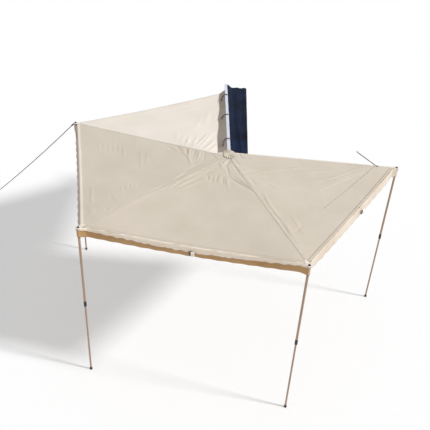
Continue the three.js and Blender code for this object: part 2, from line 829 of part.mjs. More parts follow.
// The rope's lower end: a knot with a loop that goes over a peg.
function guyEndLoop() {
  const curve = guyCurve()
  const knotPlace = curve.getPointAt(1)
  const direction = curve.getTangentAt(1)
  const flat = new THREE.Vector3(direction.x, direction.y, 0).normalize()
  const across = new THREE.Vector3(flat.y, -flat.x, 0)
  const knotStart = knotPlace.clone().addScaledVector(direction, clearance)
  const knotEnd = knotStart.clone().addScaledVector(direction, guyKnotLength)
  const points = []
  for (let i = 0; i < hookSteps; i += 1) {
    const angle = (i / hookSteps) * 2 * Math.PI
    const out = (guyLoopLength / 2) * (1 - Math.cos(angle))
    const point = knotEnd.clone().addScaledVector(flat, out - 2 * ropeRadius)
    point.addScaledVector(across, (guyLoopWidth / 2) * Math.sin(angle))
    points.push(point)
  }
  const loopCurve = new THREE.CatmullRomCurve3(points, true)
  const loop = closedTube(loopCurve, ropeRadius)
  const knot = rod(guyKnotRadius, knotStart.toArray(), knotEnd.toArray(), smallSides)
  return named('guy_end_loop', join(knot, loop), materials.rope)
}

// A ring of tube along a closed curve.
function closedTube(curve, radius) {
  return new THREE.TubeGeometry(curve, hookSteps, radius, ringSides, true)
}

// The tie rope is knotted to the last arm's side and runs straight to the rack.
function tieCurve() {
  const index = armCount - 1
  const beside = -armWidth / 2 - tieStartGap
  const start = onArm(index, tieArmPlace, beside, armHeight)
  const end = new THREE.Vector3(...tieEnd, tieEndHeight)
  return new THREE.LineCurve3(start, end)
}

function tieRope() {
  const rope = tubeAlong(tieCurve(), ropeRadius, ropeSides, tieRopeSteps)
  return named('tie_rope', rope, materials.rope)
}

// The open hook that catches the rack.
function tieHook() {
  const curve = tieCurve()
  const direction = curve.getTangentAt(1)
  const points = [new THREE.Vector3(0, clearance, 0)]
  for (let i = 0; i <= hookSteps / 2; i += 1) {
    const angle = (i / (hookSteps / 2)) * hookTurn
    const x = (hookRadius / 2) * (1 - Math.cos(angle))
    points.push(new THREE.Vector3(x, hookRadius + hookRadius * Math.sin(angle), 0))
  }
  const hook = tubeAlong(new THREE.CatmullRomCurve3(points), hookWire, ringSides, hookSteps)
  return named('tie_hook', lieAlong(hook, curve.getPointAt(1), direction), materials.steel)
}

// Everything, moved so that the origin is the rear bracket's lower face.
function sideAwning() {
  const awning = new THREE.Group()
  awning.add(mountRail(), railEndCap(), hubBracket(), hubPin())
  rackBracketPlaces.forEach((place, i) => {
    const end = i === 0 ? 'rear' : 'front'
    awning.add(rackBracket(`rack_bracket_${end}`, place), bracketBolt(`bracket_bolt_${end}`, place))
  })
  awning.add(coverFlap())
  tiePlaceShares.forEach((share, i) => {
    awning.add(tieLoop(`tie_loop_${i + 1}`, railStart + (railEnd - railStart) * share, tieSlants[i]))
  })
  for (let index = 0; index < armCount; index += 1) {
    awning.add(arm(index), canopyPanel(index))
    if (index > 0) awning.add(valance(index))
  }
  awning.add(guyRope(), guyRunner(), guyEndLoop(), tieRope(), tieHook())
  awning.position.set(-mountPlace, -rearBracketPlace, -railBottom)
  return awning
}

export default sideAwning()
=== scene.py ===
"""A side awning, opened: four cloth panels on a fan of arms, with legs, cover and ropes."""
import math

import bmesh
import bpy
import numpy as np
from mathutils import Matrix, Vector, noise


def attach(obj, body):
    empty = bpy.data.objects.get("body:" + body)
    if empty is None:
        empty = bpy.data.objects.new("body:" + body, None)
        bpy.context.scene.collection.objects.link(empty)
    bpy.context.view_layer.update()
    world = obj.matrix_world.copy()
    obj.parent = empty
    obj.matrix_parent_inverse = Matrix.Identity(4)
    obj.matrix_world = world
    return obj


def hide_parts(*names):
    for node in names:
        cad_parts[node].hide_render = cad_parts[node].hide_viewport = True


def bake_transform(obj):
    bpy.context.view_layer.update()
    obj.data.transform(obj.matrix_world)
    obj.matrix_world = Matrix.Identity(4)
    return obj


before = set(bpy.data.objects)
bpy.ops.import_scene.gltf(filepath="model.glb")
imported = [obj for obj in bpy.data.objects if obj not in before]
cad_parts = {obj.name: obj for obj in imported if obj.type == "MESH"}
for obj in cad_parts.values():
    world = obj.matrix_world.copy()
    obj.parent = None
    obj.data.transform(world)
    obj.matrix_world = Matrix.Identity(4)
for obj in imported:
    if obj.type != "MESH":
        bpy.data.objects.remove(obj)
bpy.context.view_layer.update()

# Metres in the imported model's frame. The pin's foot on the ground is the fan's own origin.
HUB = np.array((-0.1213, -0.610, -1.972))
MILLIMETRE = 0.001
CLEARANCE = 0.0003

# Fan layout, as in the part's source
ARM_COUNT = 4
FAN_STEP = math.radians(66.7)
ARM_REACH = 2.030
ARM_PITCH = 0.034
ARM_HEIGHT = 2.000
ARM_WIDTH = 0.028
ARM_DEPTH = 0.040
ARM_TOP = ARM_HEIGHT + ARM_DEPTH / 2
TIP_NOSE = 0.015
RAIL_LEFT = 0.044
RAIL_RIGHT = 0.082
RAIL_TOP = 2.028
RAIL_START = 0.150
RAIL_END = 2.200

# Canopy, as in the part's source
CLOTH_SOLID = 0.0015
RIDGE_CLEARANCE = 0.001
APEX_PLACE = (0.051, 0.048)
BACK_APEX_PLACE = (0.068, 0.150)
APEX_RISE = 0.030
APEX_SHARE = 0.025
CORNER_INSET = 0.017
EDGE_BOW = 0.008
PANEL_SAG = 0.030
SAG_POWER = 1.5
SEAM_GAP = 0.0004
STRIP_SHARE = 2 / 12
STRIP_WIDTH = 0.098
STRIP_DROP = 0.064
STRIP_HUB_GROWTH = 0.20
STRIP_FAR_GROWTH = -0.22
STRIP_WAVE = 0.005
STRIP_WAVE_LENGTH = 0.55
HUB_STRIP_SHARE = 0.45
RAIL_EDGE_START = 0.072
RAIL_EDGE_OPEN = 0.143
RAIL_EDGE_FULL = 0.290
RAIL_EDGE_END = 2.010

# Cloth as it is drawn here
CLOTH = 0.001
THIN_SHARE = 0.7
PANEL_COLUMNS = 120
STRIP_COLUMNS = 24
PANEL_ROWS = 170
HUB_CROWDING = 1.25
CALM_EDGE = 0.03
CALM_BY_STRIP = 0.08
WAVE_SIZES = [(1.7, 0.0035), (4.5, 0.0012)]
WAVE_SEED = 3.7
CREASE_END_SHARE = 0.35
AREA_STEPS = 61

# Valances: each runs along an outer edge and round the tips of both arms
VALANCE_DEPTH = 0.105
VALANCE_FOLD = 0.003
VALANCE_FOLD_LENGTH = 0.155
VALANCE_CALM = (0.07, 0.30)
VALANCE_COLUMNS = 240
VALANCE_ROWS = 10
RIM_STEPS = 61
CORNER_ROUTE = [(2.0490, 0.0), (2.0482, 0.0105), (2.0420, 0.0180), (2.0250, 0.0235)]
CORNER_REACH = 0.060
GATHER_DEPTH = 0.0065
GATHER_SIZE = 17.0
GATHER_SLANT = 2.2
GATHER_RISE = 0.4
GATHER_TOP = 0.15
GATHER_SEED = 5.1
FLARES = {1: 0.027, 2: 0.006, 3: 0.012}
FLARE_CURVE = 0.8

# Rolled edges of the last two panels: their depth at the ends and what the middle adds
ROLL_DEPTHS = {2: (0.020, 0.030), 3: (0.014, 0.010)}
# The third panel's roll takes the cloth painted lighter, painted light; the last one takes the cream
# valance cloth of the sunlit side
ROLL_MATERIALS = {2: "roll", 3: "hem_4"}
ROLL_ROWS = 12
ROLL_RADIUS = 0.007
ROLL_STAND = 0.0035
ROLL_LIFT = 0.0022
ROLL_BEND_SHARE = 0.35
ROLL_CALM = 0.05
ROLL_END_DEPTH = (-0.6, 0.4)
ROLL_GATHERS = 30
ROLL_GATHER_DEPTH = 0.0060
ROLL_GATHER_RISE = 0.5
ROLL_GATHER_TOP = 0.25
ROLL_GATHER_LIFT = 0.4
ROLL_SLANT = 2.4
ROLL_SEED = 20
ROLL_RAGGED = 0.34
ROLL_RAGGED_SIZE = 42
ROLL_RAGGED_SEED = 3.3
ROLL_END_GAP = 0.010

# Hem bands, ridge tapes and stitches on the canopy
TAPE_WIDTH = 0.011
TAPE_LIFT = 0.0009
TAPE_OVERLAP = 0.0006
BACK_HEM_WIDTH = 0.024
BAND_SHARE = 0.0226
BAND_END = 0.9997
STITCH_WIDTH = 0.0022
STITCH_LIFT = 0.0013
STITCH_INSET = 0.0035
RIM_STITCH_INSET = 0.0016
RIM_STITCH_PLACE = 0.9950
RIM_STITCH_WIDTH = 0.0013
# The last panel's outer stitch is dark and wider: painted shadow of its rolled hem
PAINTED_SHADOW_STITCH_WIDTH = 0.0032
RIDGE_SPAN = (0.012, 0.985)
RIM_SPAN = (0.012, 0.988)
RIM_FROM_STRIP = 0.01
EDGE_COLUMNS = 150
STRIP_LINES = 4

# The second seam on the last panel with a dark line that paints its crease's shadow, its eyelet, and
# webbing tabs at the edges' middles with dark strips that paint their shadows
SEAM_LINE = [(1.795, 0.020), (1.054, -0.892)]
SEAM_STEPS = 90
SEAM_WIDTH = 0.012
# The dark line in seam colour down the seam, narrowing as it goes: painted shadow of the crease
SEAM_SHADOW_LINE = 0.0060
SEAM_SHADOW_LINE_END = SEAM_SHADOW_LINE / 6
BACK_EYELET_SHARE = 0.895
BACK_EYELET_INSET = 0.018
# Each tab: its edge, the place of the webbing, then the place of a narrow dark strip beside it that paints
# the tab's shadow
TABS = [(3, 0.509, 0.497), (4, 0.575, 0.560)]
TAB_WIDTH = 0.036
TAB_REACH = 0.044
TAB_THICKNESS = 0.0018
TAB_ROUNDING = 0.0004
TAB_STAND = 0.010
TAB_FLARE_SHARE = 0.6
TAB_DROP_SHARE = 0.62
TAB_SPAN = (0.04, 0.96)
TAB_STEPS = 24
TAB_AIM = 0.01
SEARCH_STEPS = 12
SEARCH_STEP = 1e-4

# Corner patches over the arms' tips, with eyelets round the studs
PATCH_IN = 0.085
PATCH_OUT = 0.0262
PATCH_SIDE = 0.0268
PATCH_DROPS = [0.002, 0.020, 0.020, 0.020]
PATCH_DROOP_START = 0.8
PATCH_DROOP_SIDE = -0.75
PATCH_DROOP_CURVE = 1.3
PATCH_SPREAD = 1.16
PATCH_HOLE = 0.0056
PATCH_THICKNESS = 0.0009
PATCH_LIFT = 0.0004
PATCH_LEVEL = ARM_TOP + RIDGE_CLEARANCE + CLOTH_SOLID + TAPE_LIFT + PATCH_THICKNESS + PATCH_LIFT
PATCH_RINGS = 15
PATCH_SIDES = 64
EYELET_LIFT = 0.0003
EYELET_PROFILE = [
    (0.0062, 0), (0.0125, 0), (0.0132, 0.0012), (0.0112, 0.0028), (0.0080, 0.0030), (0.0062, 0.0018),
]

# Cloth cap that is gathered over the hub and the rail's rear end
CAP_CENTRE = (0.060, 0.098)
CAP_SIZE = (0.068, 0.104)
CAP_TOP = 2.0600
CAP_EDGE_FALL = 0.0015
CAP_NEAR_FALL = 0.0035
CAP_NEAR_SIDE = (0.050, 0.085)
CAP_RAIL_FALL = 0.0090
CAP_RAIL_SIDE = (0.045, 0.070)
CAP_RAIL_REACH = (0.130, 0.205)
CAP_SKIRT_BOTTOM = 2.0356
CAP_SKIRT_SIDE = (0.056, 0.062)
CAP_SKIRT_REACH = (0.13, 0.17)
CAP_SKIRT_OUT = 0.0008
CAP_EDGE_DROP = 0.0012
CAP_HOLE = 1e-4
CAP_PLEATS = 19
CAP_PLEAT_HEIGHT = 0.0100
CAP_PLEAT_DRIFT = 1.4
CAP_PLEAT_CURVE = 3
CAP_RAGGED = [(0.05, 5, 1.0), (0.03, 11, 0.0)]
CAP_RINGS = 16
CAP_SIDES = 120

# The opened cover. Its folds have a place across it, a width and a height.
COVER_THICKNESS = 0.0025
COVER_LIE = 0.044
COVER_LIP = 0.015
COVER_SLOPE_WIDTH = 0.054
COVER_WIDTH = 0.280
COVER_TAPER = 0.070
COVER_SLOPE_SHARE = 0.6
COVER_HEM_DROP = 0.006
COVER_HEM_CURVE = 4
COVER_END_GAP = 0.014
COVER_RIPPLE = 0.004
COVER_RIPPLE_LENGTH = 0.520
BRACKET_OVERLAP = 0.060
COVER_COLUMNS = 44
COVER_ROWS = 160
COVER_LOOSE = (0.25, 0.6)
COVER_WAVE = 0.004
COVER_WAVE_SIZES = (9, 4, 8.3)
COVER_FOLDS = [(0.125, 0.016, 0.008), (0.185, 0.022, -0.005), (0.235, 0.014, 0.007)]
COVER_DRIFT = 0.012
COVER_DRIFT_RATES = (3, 9)

# Elastic ties, each one cord doubled through a toggle: share of the rail's length, and slant
TIES = [(0.189, 0.118), (0.519, 0.045), (0.827, 0.105)]
TIE_CORD = 0.005
TIE_SIDES = 10
TIE_HALF_SPACING = 0.0045
TIE_HALF_END = 0.0080
TIE_WIDENING = (0.6, 1.0)
TIE_END_X = 0.0725
TIE_REACH = 0.046
TIE_REACH_CURVE = 1.7
TIE_SLANT_CURVE = 1.5
TIE_TURN_X = 0.0405
TIE_TURN_ROUND = (-0.004, 0.006)
TIE_OVER_STEPS = 9
TIE_BESIDE_STEPS = 19
TIE_END_STEPS = 8
TIE_RAIL_GAP = 0.0006
TIE_STRIP_GAP = 0.0035
TIE_LIFT_OVER = 0.0025
TIE_LIFT_BESIDE = 0.004
TOGGLE_RADIUS = 0.0075
TOGGLE_LENGTH = 0.034
TOGGLE_SIDES = 24
TOGGLE_PROFILE = [
    (0.5, 0), (0.86, 0.04), (1, 0.14), (0.82, 0.42), (0.82, 0.58), (1, 0.86), (0.86, 0.96), (0.5, 1),
]
SLEEVE_HALF = 0.0090
SLEEVE_RADIUS = 0.0032
SLEEVE_HEIGHT = 0.0034

# Ropes, with the guy rope's knot, peg loop and runner
ROPE = 0.010
ROPE_SIDES = 12
ROPE_ROUNDNESS = 4
GUY_START_GAP = 0.0038
GUY_START_DROP = 0.006
GUY_END = (-3.565, 1.990, 0.044)
GUY_SAG = 0.030
GUY_STEPS = 36
KNOT_RADIUS = 0.014
KNOT_LENGTH = 0.036
KNOT_STEPS = 48
KNOT_WAIST = 0.62
KNOT_BULGE = 0.28
KNOT_TURNS = 3
KNOT_TURN_DEPTH = 0.0018
LOOP_LENGTH = 0.090
LOOP_WIDTH = 0.050
LOOP_STEPS = 40
LOOP_SPAN = (0.06, 0.94)
LOOP_INSET = 0.004
LOOP_BACK = 0.006
RUNNER_PLACE = 0.050
RUNNER_LENGTH = 0.046
RUNNER_WIDTH = 0.026
RUNNER_THICKNESS = 0.018
RUNNER_STEPS = 32
RUNNER_SQUARENESS = 0.6
RUNNER_END_SHARE = 0.35
RUNNER_END_CURVE = 8
RUNNER_GROOVE = 0.12
TIE_ROPE_PLACE = 1.822
TIE_ROPE_GAP = 0.0025
TIE_ROPE_END = (1.655, 0.390, 1.985)
TIE_ROPE_STEPS = 16

# Legs: drawn tubes, a ribbed twist collar and a rubber foot
PIVOT_HEIGHT = ARM_HEIGHT - 0.052
HEAD_TONGUE = 0.020
HEAD_FERRULE = 0.025
UPPER_RADIUS = 0.0125
LOWER_RADIUS = 0.010
LEG_WALL = 0.0015
LEG_EDGE = 0.0004
LEG_SIDES = 48
UPPER_END = 1.000
UPPER_TOP = PIVOT_HEIGHT - HEAD_TONGUE - HEAD_FERRULE - CLEARANCE
LOWER_TOP = 1.130
COLLAR_TOP = 1.054
COLLAR_BOTTOM = 0.984
COLLAR_RADIUS = 0.015
COLLAR_ROUND = 0.0025
COLLAR_PLAIN = 0.008
COLLAR_STEP = 0.002
COLLAR_NECK = 0.0004
COLLAR_SHOULDER = 0.0006
COLLAR_LEVELS = 7
COLLAR_RIBS = 20
COLLAR_RIB_DEPTH = 0.0011
COLLAR_SIDES = 160
FOOT_SOLE = 0.008
FOOT_BORE = LOWER_RADIUS + CLEARANCE
FOOT_CORE = 1e-5
FOOT_SIDES = 56
FOOT_PROFILE = [
    (FOOT_CORE, 0.0), (0.0135, 0.0), (0.0150, 0.0015), (0.0150, 0.0060), (0.0142, 0.0075),
    (0.0138, 0.0105), (0.0130, 0.0112), (0.0130, 0.0126), (0.0137, 0.0134), (0.0133, 0.0190),
    (0.0125, 0.0197), (0.0125, 0.0211), (0.0131, 0.0219), (0.0126, 0.0328), (0.0119, 0.0340),
    (FOOT_BORE + 0.0002, 0.0340), (FOOT_BORE, 0.0334), (FOOT_BORE, FOOT_SOLE), (FOOT_CORE, FOOT_SOLE),
]

# Metal and plastic pieces that keep their solid shape: a material and how far edges are rounded
WELD_DISTANCE = 2e-5
ROUNDED_ANGLE = math.radians(35)
ROUNDED_STEPS = 2
CAD_FINISH = {
    "mount_rail": ("silver", 0.0012),
    "rail_end_cap": ("black", 0.0010),
    "hub_bracket": ("black", 0.0012),
    "hub_pin": ("steel", 0.0010),
    "rack_bracket_rear": ("black", 0.0012),
    "rack_bracket_front": ("black", 0.0012),
    "bracket_bolt_rear": ("steel", 0.0006),
    "bracket_bolt_front": ("steel", 0.0006),
    "tie_hook": ("steel", 0.0),
}
ARM_FINISH = {
    "arm_knuckle": ("black", 0.0012),
    "arm_tip": ("black", 0.0010),
    "leg_pin": ("steel", 0.0005),
    "leg_head": ("black", 0.0008),
}
ARM_TUBE_ROUNDING = 0.0020

# Colours as seen on a screen, the light one first, then what differs from a material's own values
CLOTHS = {
    # The first panel's cloth: painted light, lighter than the other panels' cloth as if it caught more sun
    "sunlit_painted_cloth": ((238, 229, 219), (230, 220, 209)),
    "cloth": ((216, 205, 190), (207, 196, 180)),
    # The steep strip beside the rail: the cloth darkened, painted shade for the shadow it lies in
    "strip": ((176, 163, 152), (162, 148, 138)),
    # The third panel's rolled edge: the cloth painted lighter, painted light on a face that is turned from
    # the sun
    "roll": ((252, 240, 224), (240, 222, 200)),
    # Hem bands, the back hem, corner patches and some ridge stitches: a lighter copy of the cloth, painted
    # light where edges and folds catch the sun
    "painted_light_band": ((238, 228, 216), (230, 219, 206)),
    "seam": ((190, 178, 162), (174, 162, 146), 0.85, 400, 0.6),
    # Dark brown that paints shadow: the line under the last panel's rolled hem and the shade beside the
    # webbing tabs
    "painted_shadow": ((112, 92, 72), (84, 66, 50), 0.85, 400, 0.6),
    "webbing": ((255, 250, 240), (240, 232, 218), 0.8, 500, 0.6),
    # Valances, one colour per side, as lit and shaded copies of one hem cloth: the pinkish brown paints
    # shade, the ochre paints shade with light shining through the cloth, the cream on the sunlit side is
    # near the cloth's own colour
    "hem_2": ((206, 184, 174), (182, 158, 148)),
    "hem_3": ((206, 166, 118), (184, 142, 96)),
    "hem_4": ((224, 211, 194), (206, 190, 170)),
    # The cover: dark navy whose random blotches reach from near black to blue; the blue paints the cover's
    # sheen highlights, and the shader's own sheen is off
    "cover": ((16, 34, 62), (2, 4, 10), 0.66, 180, 1.6, 0.0, 0.08),
}
METALS = {
    "silver": ((226, 231, 242), (202, 209, 223), 0.36, 0.80, "Y"),
    "bronze": ((178, 150, 128), (158, 131, 110), 0.45, 0.35),
    "steel": ((176, 178, 182), (140, 142, 148), 0.35, 0.95),
}
ARM_METAL = ((205, 208, 212), (180, 184, 190), 0.4, 0.85, "Y")
PLASTICS = {
    "black": ((44, 44, 48), (22, 22, 25)),
    "rubber": ((38, 38, 39), (20, 20, 21), 0.75, 500.0),
}
ROPES = {
    "rope": ((104, 76, 58), (40, 28, 24)),
    "tie": ((120, 96, 72), (56, 42, 33)),
    "cord": ((30, 30, 34), (14, 14, 16), 600.0),
}

# Grain of the surfaces. A noise has a scale, a detail and a roughness of its own.
BLOTCHES = (2.2, 4.0, 0.6)
MATT_PATCHES = (14.0, 2.0)
CRUMPLES = (26.0, 4.0, 0.55)
CRUMPLE_STRENGTH = 0.12
CRUMPLE_DEPTH = 0.01
THREAD_WANDER = 0.4
THREAD_STRENGTH = 0.06
THREAD_DEPTH = 0.0006
STREAKS = (4.0, 4.0)
STREAK_ALONG = 1.5
STREAK_ACROSS = 60.0
STREAK_STRENGTH = 0.08
STREAK_DEPTH = 0.0008
WEAR = (30.0, 4.0, 0.6)
WEAR_TONES = (0.35, 0.75)
GRAIN_DETAIL = 2.0
GRAIN_STRENGTH = 0.15
GRAIN_DEPTH = 0.0004
FLECKS = (5.0, 2.0)
FLECK_TONES = (0.42, 0.58)
BRAID_WANDER = 1.5
BRAID_STRENGTH = 0.5
BRAID_DEPTH = 0.001

# How far a material's roughness reaches below and above its own value
CLOTH_SPREAD = (0.07, 0.07)
METAL_SPREAD = (0.06, 0.08)
PLASTIC_SPREAD = (0.08, 0.1)
ROPE_ROUGHNESS = 0.85

# Screen values to linear ones, by the usual formula
SCREEN_FULL = 255
SCREEN_TOE = 0.04045
SCREEN_SLOPE = 12.92
SCREEN_LIFT = 0.055
SCREEN_GAMMA = 2.4

# Camera, fitted to the photograph
CAMERA_PLACE = (-0.4360, -7.0564, 3.7589)
CAMERA_LENS = 53.185
CAMERA_SENSOR = 36
CAMERA_PITCH = 0.6077
CAMERA_ROLL = 0.0585
CAMERA_RIGHT = (0.999274, -0.038091, 0)
CAMERA_AHEAD = (0.038091, 0.999274, 0)

# Light and floor
SUN_SIDE = (0.97, -0.24)
SUN_HEIGHT = math.radians(38)
SUN_STRENGTH = 2.55
SUN_SPREAD = math.radians(7)
SKY = 0.5
BACKDROP = 1.0
FLOOR_HALF = 30
FLOOR_COLOUR = (0.8, 0.8, 0.805, 1)
FLOOR_GLOW = 0.2
WHITE = (1, 1, 1, 1)


# Small tools


def linear(red, green, blue):
    """A colour given in screen values from 0 to 255, as linear values for a shader."""
    steps = [value / SCREEN_FULL for value in (red, green, blue)]
    low = [value / SCREEN_SLOPE for value in steps]
    high = [((value + SCREEN_LIFT) / (1 + SCREEN_LIFT)) ** SCREEN_GAMMA for value in steps]
    picked = [b if value > SCREEN_TOE else a for value, a, b in zip(steps, low, high)]
    return (*picked, 1)


def smoothstep(value, low, high):
    share = np.clip((value - low) / (high - low), 0, 1)
    return share * share * (3 - 2 * share)


def in_scene(name, data):
    """A new object in the scene that shows the given data."""
    thing = bpy.data.objects.new(name, data)
    bpy.context.scene.collection.objects.link(thing)
    return thing


def mesh_object(name, points, faces, material):
    """A mesh object with one material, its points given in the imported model's frame."""
    mesh = bpy.data.meshes.new(name)
    mesh.from_pydata([tuple(map(float, p)) for p in points], [], [tuple(map(int, f)) for f in faces])
    mesh.materials.append(material)
    outward = bmesh.new()
    outward.from_mesh(mesh)
    bmesh.ops.recalc_face_normals(outward, faces=outward.faces)
    outward.to_mesh(mesh)
    outward.free()
    mesh.polygons.foreach_set("use_smooth", [True] * len(mesh.polygons))
    mesh.update()
    return in_scene(name, mesh)


def in_frame(points):
    """Points given from the pin's foot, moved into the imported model's frame."""
    return np.asarray(points, float) + HUB


def on_arm(index, along, beside, height):
    """Places along and beside an arm as it stands in the opened fan, from the pin's foot."""
    turn = FAN_STEP * (index + 1)
    side = beside - ARM_PITCH * index
    x = side * math.cos(turn) - along * math.sin(turn)
    y = side * math.sin(turn) + along * math.cos(turn)
    return np.stack(np.broadcast_arrays(x, y, height), axis=-1).astype(float)


# Materials


class Shades:
    """The shader nodes of one new material, driven by places in the object's own space."""

    def __init__(self, name):
        self.material = bpy.data.materials.new(name)
        self.material.use_nodes = True
        self.nodes = self.material.node_tree.nodes
        self.links = self.material.node_tree.links
        self.shader = self.nodes["Principled BSDF"]
        self.places = self.nodes.new("ShaderNodeTexCoord").outputs["Object"]

    def node(self, kind, into, source, **values):
        """A node fed by a source, with the values of its other inputs."""
        node = self.nodes.new(f"ShaderNode{kind}")
        for name, value in values.items():
            node.inputs[name.replace("_", " ")].default_value = value
        self.links.new(source, node.inputs[into])
        return node

    def noise(self, scale, detail, roughness=0.5, places=None):
        fed = places or self.places
        node = self.node("TexNoise", "Vector", fed, Scale=scale, Detail=detail, Roughness=roughness)
        return node.outputs["Fac"]

    def wave(self, scale, direction, distortion):
        node = self.node("TexWave", "Vector", self.places, Scale=scale, Distortion=distortion)
        node.bands_direction = direction
        return node.outputs["Fac"]

    def tone(self, source, light, dark, low=0.3, high=0.7):
        """The colour goes from dark to light while the source goes from low to high."""
        node = self.node("ValToRGB", "Fac", source)
        stops = zip(node.color_ramp.elements, (low, high), (dark, light))
        for element, place, colour in stops:
            element.position = place
            element.color = linear(*colour)
        self.links.new(node.outputs["Color"], self.shader.inputs["Base Color"])

    def roughness(self, source, middle, below, above):
        ends = {"To_Min": middle - below, "To_Max": middle + above}
        node = self.node("MapRange", "Value", source, **ends)
        self.links.new(node.outputs["Result"], self.shader.inputs["Roughness"])

    def bump(self, height, strength, depth, under=None):
        """A bump for the shader, on top of the one under it."""
        node = self.node("Bump", "Height", height, Strength=strength, Distance=depth)
        if under is not None:
            self.links.new(under, node.inputs["Normal"])
        self.links.new(node.outputs["Normal"], self.shader.inputs["Normal"])
        return node.outputs["Normal"]


def cloth_material(name, light, dark, roughness=0.82, weave=260, crumple=1.0, sheen=0.15, gloss=0.3):
    """Coated woven cloth: soft blotches of tone, fine crumples and a woven grain."""
    shades = Shades(name)
    shades.tone(shades.noise(*BLOTCHES), light, dark)
    shades.roughness(shades.noise(*MATT_PATCHES), roughness, *CLOTH_SPREAD)
    bump = shades.bump(shades.noise(*CRUMPLES), CRUMPLE_STRENGTH * crumple, CRUMPLE_DEPTH)
    for direction in ("X", "Y"):
        threads = shades.wave(weave, direction, THREAD_WANDER)
        bump = shades.bump(threads, THREAD_STRENGTH, THREAD_DEPTH, bump)
    shades.shader.inputs["Sheen Weight"].default_value = sheen
    shades.shader.inputs["Specular IOR Level"].default_value = gloss
    return shades.material


def metal_material(name, light, dark, roughness, metallic, axis="Z", turn=0.0):
    """Drawn metal with fine streaks along its length, turned about the upright, and slight stains."""
    shades = Shades(name)
    long, wide = 1 / STREAK_ALONG, 1 / STREAK_ACROSS
    scales = {"Y": (wide, long, wide), "Z": (wide, wide, long)}
    stretch = shades.node("Mapping", "Vector", shades.places, Scale=scales[axis], Rotation=(0, 0, turn))
    stretch.vector_type = "TEXTURE"
    streaks = shades.noise(*STREAKS, places=stretch.outputs["Vector"])
    shades.tone(streaks, light, dark)
    shades.roughness(streaks, roughness, *METAL_SPREAD)
    shades.bump(streaks, STREAK_STRENGTH, STREAK_DEPTH)
    shades.shader.inputs["Metallic"].default_value = metallic
    return shades.material


def plastic_material(name, light, dark, roughness=0.5, grain=900.0):
    """Moulded plastic or rubber with a fine grain and lighter worn spots."""
    shades = Shades(name)
    wear = shades.noise(*WEAR)
    shades.tone(wear, light, dark, *WEAR_TONES)
    shades.roughness(wear, roughness, *PLASTIC_SPREAD)
    shades.bump(shades.noise(grain, GRAIN_DETAIL), GRAIN_STRENGTH, GRAIN_DEPTH)
    return shades.material


def rope_material(name, light, dark, twist=420.0):
    """Braided cord: slanting strands with a darker fleck."""
    shades = Shades(name)
    shades.tone(shades.noise(*FLECKS), light, dark, *FLECK_TONES)
    shades.bump(shades.wave(twist, "DIAGONAL", BRAID_WANDER), BRAID_STRENGTH, BRAID_DEPTH)
    shades.shader.inputs["Roughness"].default_value = ROPE_ROUGHNESS
    return shades.material


MATERIALS = {name: cloth_material(name, *look) for name, look in CLOTHS.items()}
MATERIALS.update({name: metal_material(name, *look) for name, look in METALS.items()})
MATERIALS.update({name: plastic_material(name, *look) for name, look in PLASTICS.items()})
MATERIALS.update({name: rope_material(name, *look) for name, look in ROPES.items()})


# Solids for details


def circle(sides):
    """The cosine and sine of evenly spaced angles, once round."""
    angles = [2 * math.pi * s / sides for s in range(sides)]
    return [(math.cos(angle), math.sin(angle)) for angle in angles]


def skinned(rings, closed=False):
    """Points and faces of a body through rings, with flat ends unless it is closed."""
    sides = len(rings[0])
    points = [p for ring in rings for p in ring]
    faces = []
    pairs = list(zip(range(len(rings)), range(1, len(rings))))
    if closed:
        pairs.append((len(rings) - 1, 0))
    for a, b in pairs:
        for s in range(sides):
            t = (s + 1) % sides
            faces.append((a * sides + s, a * sides + t, b * sides + t, b * sides + s))
    if not closed:
        faces.append(tuple(reversed(range(sides))))
        faces.append(tuple((len(rings) - 1) * sides + s for s in range(sides)))
    return points, faces


def tube(route, radius, sides):
    """A round body along a route, its rings turned as little as possible from one to the next."""
    places = [Vector(p) for p in route]
    rings = []
    normal = None
    for i, place in enumerate(places):
        heading = (places[min(i + 1, len(places) - 1)] - places[max(i - 1, 0)]).normalized()
        if normal is None:
            normal = heading.orthogonal().normalized()
        normal = (normal - heading * normal.dot(heading)).normalized()
        other = heading.cross(normal)
        rings.append([place + radius * (x * normal + y * other) for x, y in circle(sides)])
    return skinned(rings)


def turned(profile, place, axis, sides=32):
    """A body turned about an axis through a place, from pairs of radius and height."""
    turn = Vector((0, 0, 1)).rotation_difference(Vector(axis))
    rings = []
    for radius, height in profile:
        ring = [Vector((radius * x, radius * y, height)) for x, y in circle(sides)]
        rings.append([Vector(place) + turn @ point for point in ring])
    return skinned(rings)


def together(*shapes):
    """Several shapes as one list of points and faces."""
    points, faces = [], []
    for shape_points, shape_faces in shapes:
        first = len(points)
        points += list(shape_points)
        faces += [tuple(first + i for i in face) for face in shape_faces]
    return points, faces


def solid(name, shape, material, body, slot, *nodes):
    """A mesh object from a shape, riding on a body and standing for CAD nodes."""
    thing = mesh_object(name, *shape, MATERIALS[material])
    soften(thing)
    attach(thing, body)
    if nodes:
        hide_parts(*nodes)
    return thing


def soften(thing, rounded=0.0):
    """Rounds the edges a little and keeps flat faces flat in the light."""
    if rounded > 0:
        rounding = thing.modifiers.new("rounding", "BEVEL")
        rounding.width = rounded
        rounding.segments = ROUNDED_STEPS
        rounding.limit_method = "ANGLE"
        rounding.angle_limit = ROUNDED_ANGLE
        rounding.harden_normals = False
    flat = thing.modifiers.new("flat_faces", "WEIGHTED_NORMAL")
    flat.keep_sharp = True


# Camera and ropes


